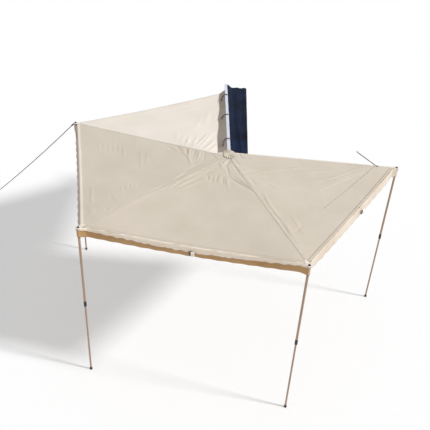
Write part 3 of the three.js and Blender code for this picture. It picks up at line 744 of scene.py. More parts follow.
def photo_camera():
    data = bpy.data.cameras.new("photo_camera")
    data.sensor_width = CAMERA_SENSOR
    data.lens = CAMERA_LENS
    camera = in_scene("photo_camera", data)
    right, ahead, up = Vector(CAMERA_RIGHT), Vector(CAMERA_AHEAD), Vector((0, 0, 1))
    looking = math.cos(CAMERA_PITCH) * ahead - math.sin(CAMERA_PITCH) * up
    upright = math.sin(CAMERA_PITCH) * ahead + math.cos(CAMERA_PITCH) * up
    across = math.cos(CAMERA_ROLL) * right + math.sin(CAMERA_ROLL) * upright
    rising = math.cos(CAMERA_ROLL) * upright - math.sin(CAMERA_ROLL) * right
    turn = Matrix((across, rising, -looking)).transposed().to_4x4()
    camera.matrix_world = Matrix.Translation(CAMERA_PLACE) @ turn
    bpy.context.scene.camera = camera


def rope(name, node, route, material, body):
    """A round rope along a list of points, riding on a body."""
    data = bpy.data.curves.new(name, "CURVE")
    data.dimensions = "3D"
    data.bevel_depth = ROPE / 2
    data.bevel_resolution = ROPE_ROUNDNESS
    data.use_fill_caps = True
    data.materials.append(MATERIALS[material])
    spline = data.splines.new("POLY")
    spline.points.add(len(route) - 1)
    for point, place in zip(spline.points, route):
        point.co = (*place, 1)
    thing = in_scene(name, data)
    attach(thing, body)
    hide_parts(node)
    return thing


def sagging_route(start, end, sag, count):
    """Points of a rope between two places, hanging down a little between them."""
    route = []
    for i in range(count + 1):
        share = i / count
        place = Vector(start).lerp(Vector(end), share)
        place.z -= sag * 4 * share * (1 - share)
        route.append(place)
    return route


def knot_and_loop(end, heading):
    """A knot of wound turns at a rope's end, and the loop that leaves it and comes back."""
    flat = Vector((heading.x, heading.y, 0)).normalized()
    across = Vector((flat.y, -flat.x, 0))
    knot = []
    for share in np.linspace(0, 1, KNOT_STEPS + 1):
        bulge = KNOT_RADIUS * (KNOT_WAIST + KNOT_BULGE * math.sin(math.pi * share) ** 0.5)
        radius = bulge + KNOT_TURN_DEPTH * abs(math.sin(KNOT_TURNS * math.pi * share))
        knot.append((radius, CLEARANCE + KNOT_LENGTH * share))
    loop = []
    start = end + heading * (CLEARANCE + KNOT_LENGTH - LOOP_INSET)
    for share in np.linspace(*LOOP_SPAN, LOOP_STEPS + 1):
        angle = 2 * math.pi * share
        out = LOOP_LENGTH / 2 * (1 - math.cos(angle))
        side = LOOP_WIDTH / 2 * math.sin(angle)
        loop.append(start + flat * (out - LOOP_BACK) + across * side)
    shape = together(turned(knot, end, heading), tube(loop, ROPE / 2, ROPE_SIDES))
    return solid("guy_knot", shape, "rope", "arm_1", "rope", "guy_end_loop")


def guy_slider(place, heading):
    """The tension runner: a rounded slider on the rope with two finger grooves."""
    across = Vector((heading.y, -heading.x, 0)).normalized()
    upward = heading.cross(across)
    rings = []
    for share in np.linspace(0, 1, RUNNER_STEPS + 1):
        round_off = max(0.0, 1 - (2 * share - 1) ** RUNNER_END_CURVE) ** 0.5
        groove = 1 - RUNNER_GROOVE * math.sin(2 * math.pi * share) ** 2
        size = (RUNNER_END_SHARE + (1 - RUNNER_END_SHARE) * round_off) * groove
        centre = place + heading * (RUNNER_LENGTH * (share - 0.5))
        ring = []
        for wide, high in circle(RUNNER_STEPS):
            x = math.copysign(abs(wide) ** RUNNER_SQUARENESS, wide) * RUNNER_WIDTH / 2 * size
            y = math.copysign(abs(high) ** RUNNER_SQUARENESS, high) * RUNNER_THICKNESS / 2 * size
            ring.append(centre + across * x + upward * y)
        rings.append(ring)
    return solid("guy_slider", skinned(rings), "black", "arm_1", "black", "guy_runner")


def guy_and_tie_rope():
    """The guy rope from the first arm's nose, and the short rope from the last arm to its hook."""
    start = in_frame(on_arm(0, ARM_REACH + TIP_NOSE + GUY_START_GAP, 0.0, ARM_TOP - GUY_START_DROP))
    route = sagging_route(start, in_frame(GUY_END), GUY_SAG, GUY_STEPS)
    guy = rope("guy_rope_braid", "guy_rope", route, "rope", "arm_1")
    knot = knot_and_loop(route[-1], (route[-1] - route[-2]).normalized())
    heading = (route[1] - route[0]).normalized()
    runner = guy_slider(route[0] + heading * RUNNER_PLACE, heading)
    beside = -ARM_WIDTH / 2 - TIE_ROPE_GAP
    start = in_frame(on_arm(ARM_COUNT - 1, TIE_ROPE_PLACE, beside, ARM_HEIGHT))
    route = sagging_route(start, in_frame(TIE_ROPE_END), 0.0, TIE_ROPE_STEPS)
    tie = rope("tie_rope_braid", "tie_rope", route, "tie", "arm_4")


photo_camera()

guy_and_tie_rope()


# Light and floor


def sun_and_sky():
    data = bpy.data.lights.new("sun", "SUN")
    data.energy = SUN_STRENGTH
    data.angle = SUN_SPREAD
    sun = in_scene("sun", data)
    side = Vector((*SUN_SIDE, 0)).normalized() * math.cos(SUN_HEIGHT)
    towards = side + Vector((0, 0, math.sin(SUN_HEIGHT)))
    sun.rotation_euler = towards.to_track_quat("Z", "Y").to_euler()
    world = bpy.data.worlds.new("pale_sky")
    bpy.context.scene.world = world
    world.use_nodes = True
    nodes, links = world.node_tree.nodes, world.node_tree.links
    dim = nodes["Background"]
    dim.inputs["Color"].default_value = WHITE
    dim.inputs["Strength"].default_value = SKY
    bright = nodes.new("ShaderNodeBackground")
    bright.inputs["Color"].default_value = WHITE
    bright.inputs["Strength"].default_value = BACKDROP
    seen = seen_directly(nodes, links)
    mix = nodes.new("ShaderNodeMixShader")
    links.new(seen, mix.inputs["Fac"])
    links.new(dim.outputs["Background"], mix.inputs[1])
    links.new(bright.outputs["Background"], mix.inputs[2])
    links.new(mix.outputs["Shader"], nodes["World Output"].inputs["Surface"])


def seen_directly(nodes, links):
    """One where a ray comes from the camera, a reflection or a transmission."""
    path = nodes.new("ShaderNodeLightPath")
    total = path.outputs["Is Camera Ray"]
    for name in ("Is Glossy Ray", "Is Transmission Ray"):
        either = nodes.new("ShaderNodeMath")
        either.operation = "MAXIMUM"
        links.new(total, either.inputs[0])
        links.new(path.outputs[name], either.inputs[1])
        total = either.outputs["Value"]
    return total


def pale_floor():
    """A wide plain floor that looks white in the light and keeps the awning's shadow."""
    material = bpy.data.materials.new("pale_floor")
    material.use_nodes = True
    nodes, links = material.node_tree.nodes, material.node_tree.links
    nodes.clear()
    output = nodes.new("ShaderNodeOutputMaterial")
    matt = nodes.new("ShaderNodeBsdfDiffuse")
    matt.inputs["Color"].default_value = FLOOR_COLOUR
    glow = nodes.new("ShaderNodeEmission")
    glow.inputs["Color"].default_value = WHITE
    strength = nodes.new("ShaderNodeMath")
    strength.operation = "MULTIPLY"
    strength.inputs[1].default_value = FLOOR_GLOW
    links.new(seen_directly(nodes, links), strength.inputs[0])
    links.new(strength.outputs["Value"], glow.inputs["Strength"])
    add = nodes.new("ShaderNodeAddShader")
    links.new(matt.outputs["BSDF"], add.inputs[0])
    links.new(glow.outputs["Emission"], add.inputs[1])
    links.new(add.outputs["Shader"], output.inputs["Surface"])
    corners = [(-1, -1), (1, -1), (1, 1), (-1, 1)]
    points = [(x * FLOOR_HALF, y * FLOOR_HALF, HUB[2]) for x, y in corners]
    floor = mesh_object("floor", points, [(0, 1, 2, 3)], material)


sun_and_sky()
pale_floor()


# Canopy surface


def ridge_point(index, share, beside):
    """A panel's edge over an arm, straight from the apex to the corner. The back edge starts at
    the rail's end instead."""
    corner = on_arm(index, ARM_REACH - CORNER_INSET, 0.0, 0.0)[:2]
    apex = np.array(BACK_APEX_PLACE if index == ARM_COUNT - 1 else APEX_PLACE)
    run = corner - apex
    across = np.array((run[1], -run[0])) / np.hypot(*run)
    share = np.asarray(share, float)
    flat = apex + share[..., None] * run + np.asarray(beside, float)[..., None] * across
    height = ARM_TOP + RIDGE_CLEARANCE + CLOTH_SOLID + APEX_RISE * (1 - share)
    return np.concatenate((flat, height[..., None]), axis=-1)


def share_at(u, v):
    """Share of the way out along a ridge, drawn in at the middle of the outer edge."""
    out = APEX_SHARE + (1 - APEX_SHARE) * v
    return out * (1 - 4 * u * (1 - u) * EDGE_BOW / (ARM_REACH - CORNER_INSET))


def sag_at(across, share):
    return PANEL_SAG * share * np.maximum(4 * across * (1 - across), 0) ** SAG_POWER


def mixed(start, end, share):
    return start + (end - start) * np.asarray(share)[..., None]


def panel_point(index, u, v):
    """A place on one of the panels between two arms."""
    u, v = np.broadcast_arrays(np.asarray(u, float), np.asarray(v, float))
    share = share_at(u, v)
    overhang = -ARM_WIDTH / 2 * share if index == ARM_COUNT - 1 else np.full_like(share, SEAM_GAP / 2)
    before = ridge_point(index - 1, share, np.full_like(share, -SEAM_GAP / 2))
    after = ridge_point(index, share, overhang)
    point = mixed(before, after, u)
    point[..., 2] -= sag_at(u, share)
    return point


def strip_width(y, opened):
    """The steep strip is widest near the hub, and its valley runs in slow waves."""
    far = smoothstep(y, RAIL_EDGE_FULL, RAIL_EDGE_END)
    growth = STRIP_HUB_GROWTH + (STRIP_FAR_GROWTH - STRIP_HUB_GROWTH) * far
    width = STRIP_WIDTH * (HUB_STRIP_SHARE + (1 + growth - HUB_STRIP_SHARE) * opened)
    return width + STRIP_WAVE * opened * np.sin(2 * math.pi * y / STRIP_WAVE_LENGTH)


def rail_panel_point(u, v):
    """A place on the first panel: down a steep strip from the rail, then across to the ridge."""
    u, v = np.broadcast_arrays(np.asarray(u, float), np.asarray(v, float))
    share = share_at(u, v)
    ridge = ridge_point(0, share, np.full_like(share, SEAM_GAP / 2))
    y = RAIL_EDGE_START + (RAIL_EDGE_END - RAIL_EDGE_START) * v
    opened = smoothstep(y, RAIL_EDGE_OPEN, RAIL_EDGE_FULL)
    edge_height = ridge[..., 2] + (RAIL_TOP - CLOTH_SOLID - ridge[..., 2]) * opened
    width = strip_width(y, opened)
    edge = np.stack((np.full_like(y, RAIL_LEFT - CLEARANCE), y, edge_height), axis=-1)
    valley = np.stack((RAIL_LEFT - width, y, edge_height - STRIP_DROP * opened), axis=-1)
    down = mixed(edge, valley, np.clip(u / STRIP_SHARE, 0, 1))
    across = np.clip((u - STRIP_SHARE) / (1 - STRIP_SHARE), 0, 1)
    out = mixed(valley, ridge, across)
    out[..., 2] -= sag_at(across, share) / 2
    return np.where((u < STRIP_SHARE)[..., None], down, out)


def surface_point(index, u, v):
    return rail_panel_point(u, v) if index == 0 else panel_point(index, u, v)


# Creases drawn after the photograph: panel, from x, y to x, y in metres, then the
# width and the height in millimetres. A negative height is a furrow.
CREASES = [
    (1, -0.58, -0.29, -0.54, -0.03, 14, 7),
    (1, -0.50, -0.31, -0.45, 0.00, 14, 8),
    (1, -0.48, -0.33, -0.30, 0.15, 16, 9),
    (1, -0.42, -0.30, -0.25, 0.18, 16, 8),
    (1, -0.36, -0.35, -0.21, 0.02, 16, 8),
    (1, -0.57, -0.09, -0.54, -0.24, 12, 5),
    (1, -0.30, -0.37, -0.19, -0.13, 14, 7),
    (1, -0.64, -0.22, -0.62, 0.01, 20, 4),
    (1, -0.70, -0.17, -0.69, 0.12, 26, 3),
    (1, -1.08, 0.66, -0.43, 1.07, 24, 3),
    (1, -0.88, 0.61, -0.34, 1.01, 20, 3),
    (1, -1.54, 0.12, -1.04, 0.06, 40, 3),
    (1, -0.35, 0.43, -0.30, 0.79, 30, 5),
    (1, -0.48, 0.27, -0.38, 0.66, 34, 4),
    (1, -0.20, -0.36, -0.13, -0.40, 12, 5),
    (2, -0.69, -0.35, -0.61, -0.47, 16, -8),
    (2, -0.57, -0.37, -0.56, -0.53, 12, -8),
    (2, -0.53, -0.39, -0.54, -0.58, 12, 8),
    (2, -0.54, -0.58, -0.50, -0.76, 12, 6),
    (2, -0.46, -0.43, -0.49, -0.57, 12, -7),
    (2, -0.64, -0.40, -0.52, -0.62, 16, 5),
    (2, -0.79, -0.36, -0.70, -0.47, 18, -4),
    (2, -0.41, -0.45, -0.43, -0.62, 12, 6),
    (2, -0.35, -0.49, -0.36, -0.66, 12, -5),
    (2, -1.62, -0.30, -1.60, -0.43, 10, 3),
    (2, -1.56, -0.30, -1.54, -0.42, 10, 3),
    (2, -1.50, -0.32, -1.48, -0.46, 10, 3.5),
    (2, -1.44, -0.31, -1.42, -0.48, 10, 3.5),
    (2, -1.37, -0.36, -1.36, -0.50, 10, 3.5),
    (2, -1.32, -0.35, -1.29, -0.61, 11, 3.5),
    (2, -1.10, -0.48, -1.07, -0.83, 14, 3),
    (2, -1.02, -0.55, -1.01, -0.73, 12, 2),
    (2, -1.24, -1.22, -1.23, -1.34, 10, 3),
    (2, -1.19, -1.20, -1.17, -1.32, 10, 3),
    (2, -1.14, -1.19, -1.13, -1.29, 10, 3),
    (2, -1.10, -1.17, -1.09, -1.27, 10, 3),
    (2, -1.56, -1.26, -1.51, -1.59, 12, 4),
    (2, -1.51, -1.68, -1.48, -1.80, 12, 4),
    (2, -1.48, -1.66, -1.46, -1.79, 10, 3),
    (2, -1.36, -1.67, -1.32, -1.74, 14, -4),
    (2, -1.33, -1.43, -1.32, -1.52, 12, -3),
    (2, -0.91, -1.36, -0.77, -1.21, 16, -7),
    (2, -0.66, -1.08, -0.53, -0.92, 18, -8),
    (2, -0.57, -0.90, -0.40, -0.75, 16, -6),
    (2, -0.25, -0.51, -0.18, -0.62, 10, 6),
    (3, -1.38, -1.87, -1.20, -1.72, 14, 6),
    (3, -1.21, -1.66, -1.04, -1.52, 14, 5),
    (3, -0.97, -1.42, -0.67, -1.16, 14, 7),
    (3, -0.66, -1.14, -0.41, -0.91, 14, 9),
    (3, -0.63, -1.22, -0.40, -0.99, 13, 7),
    (3, -0.61, -1.28, -0.33, -1.05, 14, 5),
    (3, -0.72, -1.24, -0.64, -1.16, 12, 5),
    (3, -0.34, -0.95, -0.22, -0.83, 16, -5),
    (3, -0.32, -0.97, -0.30, -1.07, 12, -6),
    (3, -0.25, -1.00, -0.27, -1.11, 12, -6),
    (3, -0.20, -0.96, -0.22, -1.09, 12, -6),
    (3, -0.14, -1.00, -0.15, -1.14, 12, -5),
    (3, -0.10, -1.03, -0.09, -1.20, 12, 5),
    (3, 0.20, -1.32, 0.28, -1.45, 16, -9),
    (3, -0.05, -1.03, 0.20, -1.30, 18, -8),
    (3, 0.01, -0.98, 0.23, -1.32, 16, 6),
    (3, 0.32, -1.58, 0.37, -1.69, 16, -8),
    (3, -0.08, -0.99, 0.10, -1.23, 14, -5),
    (3, -1.35, -2.09, -0.95, -2.24, 22, 3),
    (3, -1.05, -2.21, -0.57, -2.34, 22, 3),
    (3, -0.38, -2.33, 0.09, -2.39, 20, 3),
    (3, 0.09, -2.38, 0.56, -2.44, 20, 3),
    (3, -0.18, -0.69, -0.14, -0.82, 12, 6),
    (3, -0.10, -0.77, -0.07, -0.95, 12, -6),
    (4, 0.11, -0.96, 0.30, -0.96, 14, 9),
    (4, 0.14, -1.04, 0.38, -1.08, 14, 7),
    (4, 0.31, -0.81, 0.53, -0.77, 14, 8),
    (4, 0.06, -0.87, 0.31, -0.79, 14, 6),
    (4, 0.05, -1.11, 0.21, -1.18, 14, 5),
    (4, 0.23, -0.88, 0.82, -0.70, 16, 6),
    (4, 0.57, -0.88, 1.11, -0.73, 18, 4),
    (4, 1.00, -1.04, 1.65, -0.59, 14, 6),
    (4, 1.08, -0.91, 1.63, -0.57, 14, 6),
    (4, 0.91, -1.15, 1.59, -0.67, 16, 5),
    (4, 0.78, -1.01, 1.26, -0.85, 18, 3),
    (4, 0.37, -1.67, 0.44, -1.82, 14, -7),
    (4, 0.34, -1.50, 0.42, -1.74, 16, 6),
    (4, 0.43, -1.84, 0.51, -2.07, 14, -7),
    (4, 0.47, -1.84, 0.53, -2.05, 14, 6),
    (4, 0.51, -2.09, 0.56, -2.23, 14, -6),
    (4, 0.58, -2.26, 0.60, -2.38, 12, -5),
    (4, 0.30, -1.33, 0.34, -1.52, 14, 6),
    (4, 0.18, -0.57, 0.77, -0.59, 22, 4),
    (4, 0.77, -0.62, 1.36, -0.62, 22, 4),
    (4, 0.56, -1.69, 0.64, -1.98, 20, 4),
    (4, 0.57, -1.97, 0.65, -1.86, 16, -4),
    (4, -0.02, -0.58, 0.06, -0.76, 12, -7),
    (4, -0.03, -0.58, -0.09, -0.73, 10, -8),
    (4, 0.02, -0.51, 0.18, -0.59, 14, 6),
    (4, -0.04, -0.77, 0.03, -0.94, 12, 7),
    (4, 0.02, -0.41, 0.09, -0.58, 11, -9),
    (4, 0.06, -0.39, 0.14, -0.52, 11, 8),
    (4, 0.11, -0.48, 0.18, -0.59, 12, -6),
    (3, -0.06, -0.66, -0.11, -0.77, 11, -8),
    (3, -0.09, -0.64, -0.14, -0.73, 11, 8),
    (3, -0.15, -0.59, -0.18, -0.67, 10, -7),
    (2, -0.22, -0.53, -0.17, -0.48, 10, 7),
    (2, -0.26, -0.60, -0.22, -0.55, 10, -6),
    (3, -0.01, -0.77, 0.05, -0.92, 14, -6),
    (4, 0.12, -0.87, 0.30, -0.96, 12, 6),
    (4, 0.34, -0.76, 0.52, -0.75, 12, 6),
    (4, 0.43, -0.69, 0.58, -0.70, 12, 5),
    (4, 0.49, -0.59, 0.66, -0.58, 12, 4),
    (4, 0.16, -1.02, 0.22, -1.16, 14, -5),
    (4, 0.32, -1.09, 0.43, -1.20, 14, -5),
]


def crease_height(points, start, end, width):
    """One where a crease runs, falling off to its sides and fading out towards its ends."""
    run = end - start
    length = np.hypot(*run)
    offset = points - start
    along = offset @ run / length
    beside = (offset[:, 0] * run[1] - offset[:, 1] * run[0]) / length
    past = np.maximum(0, np.maximum(-along, along - length))
    inside = np.clip(along / length, 0, 1)
    fade = CREASE_END_SHARE + (1 - CREASE_END_SHARE) * np.sin(np.pi * inside)
    return fade * np.exp(-((beside / width) ** 2)) * np.exp(-((past / (2 * width)) ** 2))


def noise_along(places, beside, seed):
    """Noise at places along a line, at one place beside it."""
    return np.array([noise.noise(Vector((place, beside, seed))) for place in places])


def soft_waves(points, seed):
    """Low waves in the cloth, by a noise of two sizes."""
    height = np.zeros(len(points))
    for size, depth in WAVE_SIZES:
        values = [noise.noise(Vector((x * size, y * size, seed))) for x, y in points]
        height += depth * np.array(values)
    return height


def dressed_height(points, index):
    """How far creases and waves lift the cloth at places in the frame's x and y."""
    height = soft_waves(points, WAVE_SEED * (index + 1))
    for panel, x0, y0, x1, y1, width, lift in CREASES:
        if panel == index + 1:
            start, end = np.array((x0, y0)), np.array((x1, y1))
            shape = crease_height(points, start, end, width * MILLIMETRE)
            height += lift * MILLIMETRE * shape
    return height


def grid_faces(columns, rows, first=0):
    faces = []
    wide = columns + 1
    for r in range(rows):
        for c in range(columns):
            a = first + r * wide + c
            faces.append((a, a + 1, a + 1 + wide, a + wide))
    return faces


def thick_sheet(name, grid, offset, material):
    """A closed sheet: a grid of points, doubled at an offset and closed round its rim."""
    rows, columns = grid.shape[0] - 1, grid.shape[1] - 1
    front = grid.reshape(-1, 3)
    size = len(front)
    points = np.concatenate((front, front + offset))
    faces = grid_faces(columns, rows) + grid_faces(columns, rows, size)
    wide = columns + 1
    rim = list(range(columns))
    rim += [r * wide + columns for r in range(rows)]
    rim += [rows * wide + c for c in range(columns, 0, -1)]
    rim += [r * wide for r in range(rows, 0, -1)]
    for a, b in zip(rim, rim[1:] + rim[:1]):
        faces.append((b, a, a + size, b + size))
    return mesh_object(name, points, faces, MATERIALS[material])


def fold_with_arms(piece, index):
    """Moves the piece's placement into its points; the arm's middle is found but not used."""
    middle = in_frame(on_arm(index, ARM_REACH / 2, 0.0, ARM_HEIGHT))
    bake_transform(piece)


def dressed_surface(index, u, v):
    """Places on a panel with its creases and waves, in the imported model's frame."""
    u, v = np.broadcast_arrays(np.asarray(u, float), np.asarray(v, float))
    grid = in_frame(surface_point(index, u, v))
    start = STRIP_SHARE if index == 0 else 0.0
    rise = CALM_BY_STRIP if index == 0 else CALM_EDGE
    calm = smoothstep(u, start, start + rise) * smoothstep(1 - u, 0, CALM_EDGE)
    lift = dressed_height(grid[..., :2].reshape(-1, 2), index).reshape(u.shape)
    grid[..., 2] += lift * calm
    return grid


def canopy_panel(index):
    """One panel as a closed sheet. The first one also has a steep strip in a darker copy of the cloth,
    which paints the shade the strip lies in.
    """
    strip_count = STRIP_COLUMNS if index == 0 else 0
    u = np.linspace(0, 1, PANEL_COLUMNS + 1)
    if index == 0:
        steep = np.linspace(0, STRIP_SHARE, strip_count + 1)
        u = np.concatenate((steep, np.linspace(STRIP_SHARE, 1, PANEL_COLUMNS - strip_count + 1)[1:]))
    v = np.linspace(0, 1, PANEL_ROWS + 1) ** HUB_CROWDING
    grid = dressed_surface(index, u[None, :], v[:, None])
    below = np.array((0, 0, -CLOTH))
    # The first panel takes the cloth with painted sunlight, the others the plain cloth
    panel = thick_sheet(f"canopy_{index + 1}", grid, below, "sunlit_painted_cloth" if index == 0 else "cloth")
    # The strip's faces get the darker cloth with painted shade
    if index == 0:
        panel.data.materials.append(MATERIALS["strip"])
        for face in range(2 * PANEL_COLUMNS * PANEL_ROWS):
            if face % PANEL_COLUMNS < strip_count:
                panel.data.polygons[face].material_index = 1
    fold_with_arms(panel, index)
    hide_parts(f"canopy_panel_{index + 1}")
    return panel


panels = [canopy_panel(index) for index in range(ARM_COUNT)]


# Valances and rolled edges


def rim_route(index):
    """The valance's upper line: from one arm's nose along the sagging edge to the next."""
    places = np.linspace(0, 1, RIM_STEPS)
    rim = panel_point(index, places, np.ones_like(places))
    rim[:, 2] -= CLOTH_SOLID + CLEARANCE
    from_ends = np.minimum(*(np.linalg.norm(rim - end, axis=-1) for end in (rim[0], rim[-1])))
    level = ARM_TOP + RIDGE_CLEARANCE - CLEARANCE
    first = [on_arm(index - 1, along, -beside, level) for along, beside in CORNER_ROUTE]
    last = [on_arm(index, along, beside, level) for along, beside in reversed(CORNER_ROUTE)]
    return np.concatenate((first, rim[from_ends > CORNER_REACH], last))


def evenly(route, count):
    """The same line with its points spaced evenly."""
    steps = np.linalg.norm(np.diff(route, axis=0), axis=-1)
    along = np.concatenate(([0], np.cumsum(steps)))
    wanted = np.linspace(0, along[-1], count)
    return np.stack([np.interp(wanted, along, column) for column in route.T], axis=-1), along[-1]


def sideways(route):
    """Level directions at right angles to a line, one for each of its points."""
    ahead = np.gradient(route[:, :2], axis=0)
    ahead /= np.hypot(*ahead.T)[:, None]
    return np.stack((ahead[:, 1], -ahead[:, 0]), axis=-1)


def outward_of(route):
    """The side of a line round the fan that points away from the hub."""
    outward = sideways(route)
    middle = len(route) // 2
    return outward if outward[middle] @ route[middle, :2] > 0 else -outward


def hung_sheet(name, index, rim, outward, lines, thickness, drop, material):
    """A closed sheet below a rim. Each of its lines is the rim moved out
    and up, and its thickness lies on the inner side."""
    rows = []
    for out, up in lines:
        flat = rim[:, :2] + outward * out[:, None]
        rows.append(np.concatenate((flat, (rim[:, 2] + up)[:, None]), axis=-1))
    offset = np.concatenate((-outward * thickness, np.full((len(outward), 1), -drop)), axis=-1)
    piece = thick_sheet(name, in_frame(np.array(rows)), np.tile(offset, (len(rows), 1)), material)
    fold_with_arms(piece, index)
    return piece


def valance(index):
    """A hanging hem in low upright folds and small gathers, that flares out towards its edge."""
    route, length = evenly(rim_route(index), VALANCE_COLUMNS + 1)
    outward = outward_of(route)
    share = np.linspace(0, 1, VALANCE_COLUMNS + 1)
    middle = smoothstep(np.minimum(share, 1 - share) * length, *VALANCE_CALM)
    folds = round(length / VALANCE_FOLD_LENGTH)
    lines = []
    for v in np.linspace(0, 1, VALANCE_ROWS + 1):
        fold = VALANCE_FOLD * v * np.sin(2 * math.pi * folds * share) * middle
        slant = share * length * GATHER_SIZE + v * GATHER_SLANT
        gathers = noise_along(slant, v * GATHER_RISE, index * GATHER_SEED)
        gather = GATHER_DEPTH * gathers * math.sin(math.pi * min(v + GATHER_TOP, 1)) * middle
        flare = FLARES[index] * middle * v ** FLARE_CURVE
        lines.append((fold + gather + flare - CLOTH_SOLID * middle, -VALANCE_DEPTH * v))
    # Each valance takes its own copy of the hem cloth, with painted light and shade for its side
    name, material = f"edge_valance_{index + 1}", f"hem_{index + 1}"
    piece = hung_sheet(name, index, route, outward, lines, CLOTH, 0.0, material)
    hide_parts(f"valance_{index + 1}")


for index in range(1, ARM_COUNT):
    valance(index)


def edge_roll(index):
    """The canopy's cloth rolled over its outer edge, in slanting gathers, down over the valance."""
    shallow, deeper = ROLL_DEPTHS[index]
    columns = 2 * VALANCE_COLUMNS
    rim, length = evenly(rim_route(index), columns + 1)
    outward = outward_of(rim)
    spare = round(columns * ROLL_END_GAP / length)
    rim, outward = rim[spare:-spare], outward[spare:-spare]
    rim[:, 2] += CLOTH_SOLID + CLEARANCE + TAPE_LIFT + ROLL_LIFT
    share = np.linspace(0, 1, len(rim))
    calm = smoothstep(np.minimum(share, 1 - share), 0, ROLL_CALM)
    ragged = 1 + ROLL_RAGGED * noise_along(share * ROLL_RAGGED_SIZE, ROLL_RAGGED_SEED, index)
    depth = (shallow * smoothstep(calm, *ROLL_END_DEPTH) + deeper * np.sin(np.pi * share)) * ragged
    lines = []
    for part in np.linspace(0, 1, ROLL_ROWS + 1):
        slant = share * ROLL_GATHERS + part * ROLL_SLANT
        gathers = noise_along(slant, part * ROLL_GATHER_RISE, ROLL_SEED + index)
        top = min(1, ROLL_GATHER_TOP + part * (1 - ROLL_GATHER_TOP))
        swell = ROLL_GATHER_DEPTH * gathers * calm * math.sin(math.pi * top)
        bent = min(1.0, part / ROLL_BEND_SHARE)
        turn = bent * math.pi / 2
        out = ROLL_RADIUS * (math.sin(turn) - 1.0) + ROLL_STAND * bent
        hangs = max(0.0, part - ROLL_BEND_SHARE) / (1 - ROLL_BEND_SHARE)
        down = ROLL_RADIUS * (1 - math.cos(turn)) + depth * hangs
        out = out + FLARES[index] * (down / VALANCE_DEPTH) ** FLARE_CURVE
        lines.append((out + swell, ROLL_GATHER_LIFT * swell - down))
    thin = CLOTH * THIN_SHARE
    name, material = f"edge_roll_{index + 1}", ROLL_MATERIALS[index]
    roll = hung_sheet(name, index, rim, outward, lines, thin, thin, material)
    return roll


rolls = {index: edge_roll(index) for index in ROLL_DEPTHS}


# The opened cover


def cover_point(out, along):
    """A place on the cover: over the brackets, down a slope, then out, nearly level."""
    start = RAIL_START + BRACKET_OVERLAP + COVER_END_GAP
    end = RAIL_END - COVER_END_GAP
    y = start + (end - start) * along
    width = COVER_WIDTH - COVER_TAPER * (1 - along)
    top = RAIL_TOP + CLEARANCE + COVER_THICKNESS
    flat_start = COVER_LIP + COVER_SLOPE_WIDTH
    x = width * out
    knots = [0, COVER_LIP, COVER_LIP + COVER_SLOPE_WIDTH / 2, flat_start]
    drops = [0, 0, COVER_LIE * COVER_SLOPE_SHARE, COVER_LIE]
    drop = np.interp(x, knots, drops)
    share = max(0.0, (x - flat_start) / (width - flat_start))
    ripple = COVER_RIPPLE * share * (1 - math.cos(2 * math.pi * y / COVER_RIPPLE_LENGTH))
    height = top - drop - COVER_HEM_DROP * share ** COVER_HEM_CURVE + ripple
    return RAIL_RIGHT + CLEARANCE + x, y, height


def cover_flap():
    """The cover as one soft sheet with long folds that drift a little on their way."""
    grid = np.zeros((COVER_ROWS + 1, COVER_COLUMNS + 1, 3))
    wave_x, wave_y, wave_seed = COVER_WAVE_SIZES
    along_rate, place_rate = COVER_DRIFT_RATES
    for r in range(COVER_ROWS + 1):
        for c in range(COVER_COLUMNS + 1):
            x, y, z = cover_point(c / COVER_COLUMNS, r / COVER_ROWS)
            loose = smoothstep(c / COVER_COLUMNS, *COVER_LOOSE)
            wave = COVER_WAVE * loose * noise.noise(Vector((x * wave_x, y * wave_y, wave_seed)))
            for place, wide, high in COVER_FOLDS:
                drift = COVER_DRIFT * math.sin(along_rate * y + place_rate * place)
                wave += high * loose * math.exp(-(((x - RAIL_RIGHT - place - drift) / wide) ** 2))
            grid[r, c] = (x, y, z + wave)
    piece = thick_sheet("cover_cloth", in_frame(grid), np.array((0, 0, -COVER_THICKNESS)), "cover")
    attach(piece, "cover")
    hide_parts("cover_flap")


cover_flap()


# Hem bands, ridge tapes and stitching that lie on the canopy


def along_edge(index, from_edge, v, at_start):
    """The u of places at a distance from one of a panel's ridges, for each v."""
    first = STRIP_SHARE if index == 0 else 0.0
    near = surface_point(index, np.full_like(v, first), v)
    far = surface_point(index, np.ones_like(v), v)
    width = np.linalg.norm(far - near, axis=-1)
    step = (1 - first) * from_edge / width
    return first + step if at_start else 1 - step


def laid_strip(name, index, u, v, lift, material):
    """A thin strip that lies on a panel at the places given by u and v."""
    grid = dressed_surface(index, u, v)
    grid[..., 2] += lift
    strip = thick_sheet(name, grid, np.array((0, 0, -THIN_SHARE * TAPE_LIFT)), material)
    fold_with_arms(strip, index)
    return strip


def ridge_strip(name, index, near, far, lift, material, at_start):
    """A strip along a panel's ridge between two distances from it."""
    v = np.linspace(*RIDGE_SPAN, PANEL_ROWS + 1) ** HUB_CROWDING
    columns = [along_edge(index, near + (far - near) * share, v, at_start) for share in (0, 0.5, 1)]
    u = np.stack(columns, axis=-1)
    return laid_strip(name, index, u, np.broadcast_to(v[:, None], u.shape), lift, material)


def rim_strip(name, index, outer, inner, lift, material):
    """A strip along a panel's outer edge, between two values of v."""
    first, last = RIM_SPAN
    if index == 0:
        first = STRIP_SHARE + RIM_FROM_STRIP
    u = np.linspace(first, last, EDGE_COLUMNS + 1)[None, :]
    v = np.linspace(inner, outer, STRIP_LINES)[:, None]
    return laid_strip(name, index, u, v, lift, material)


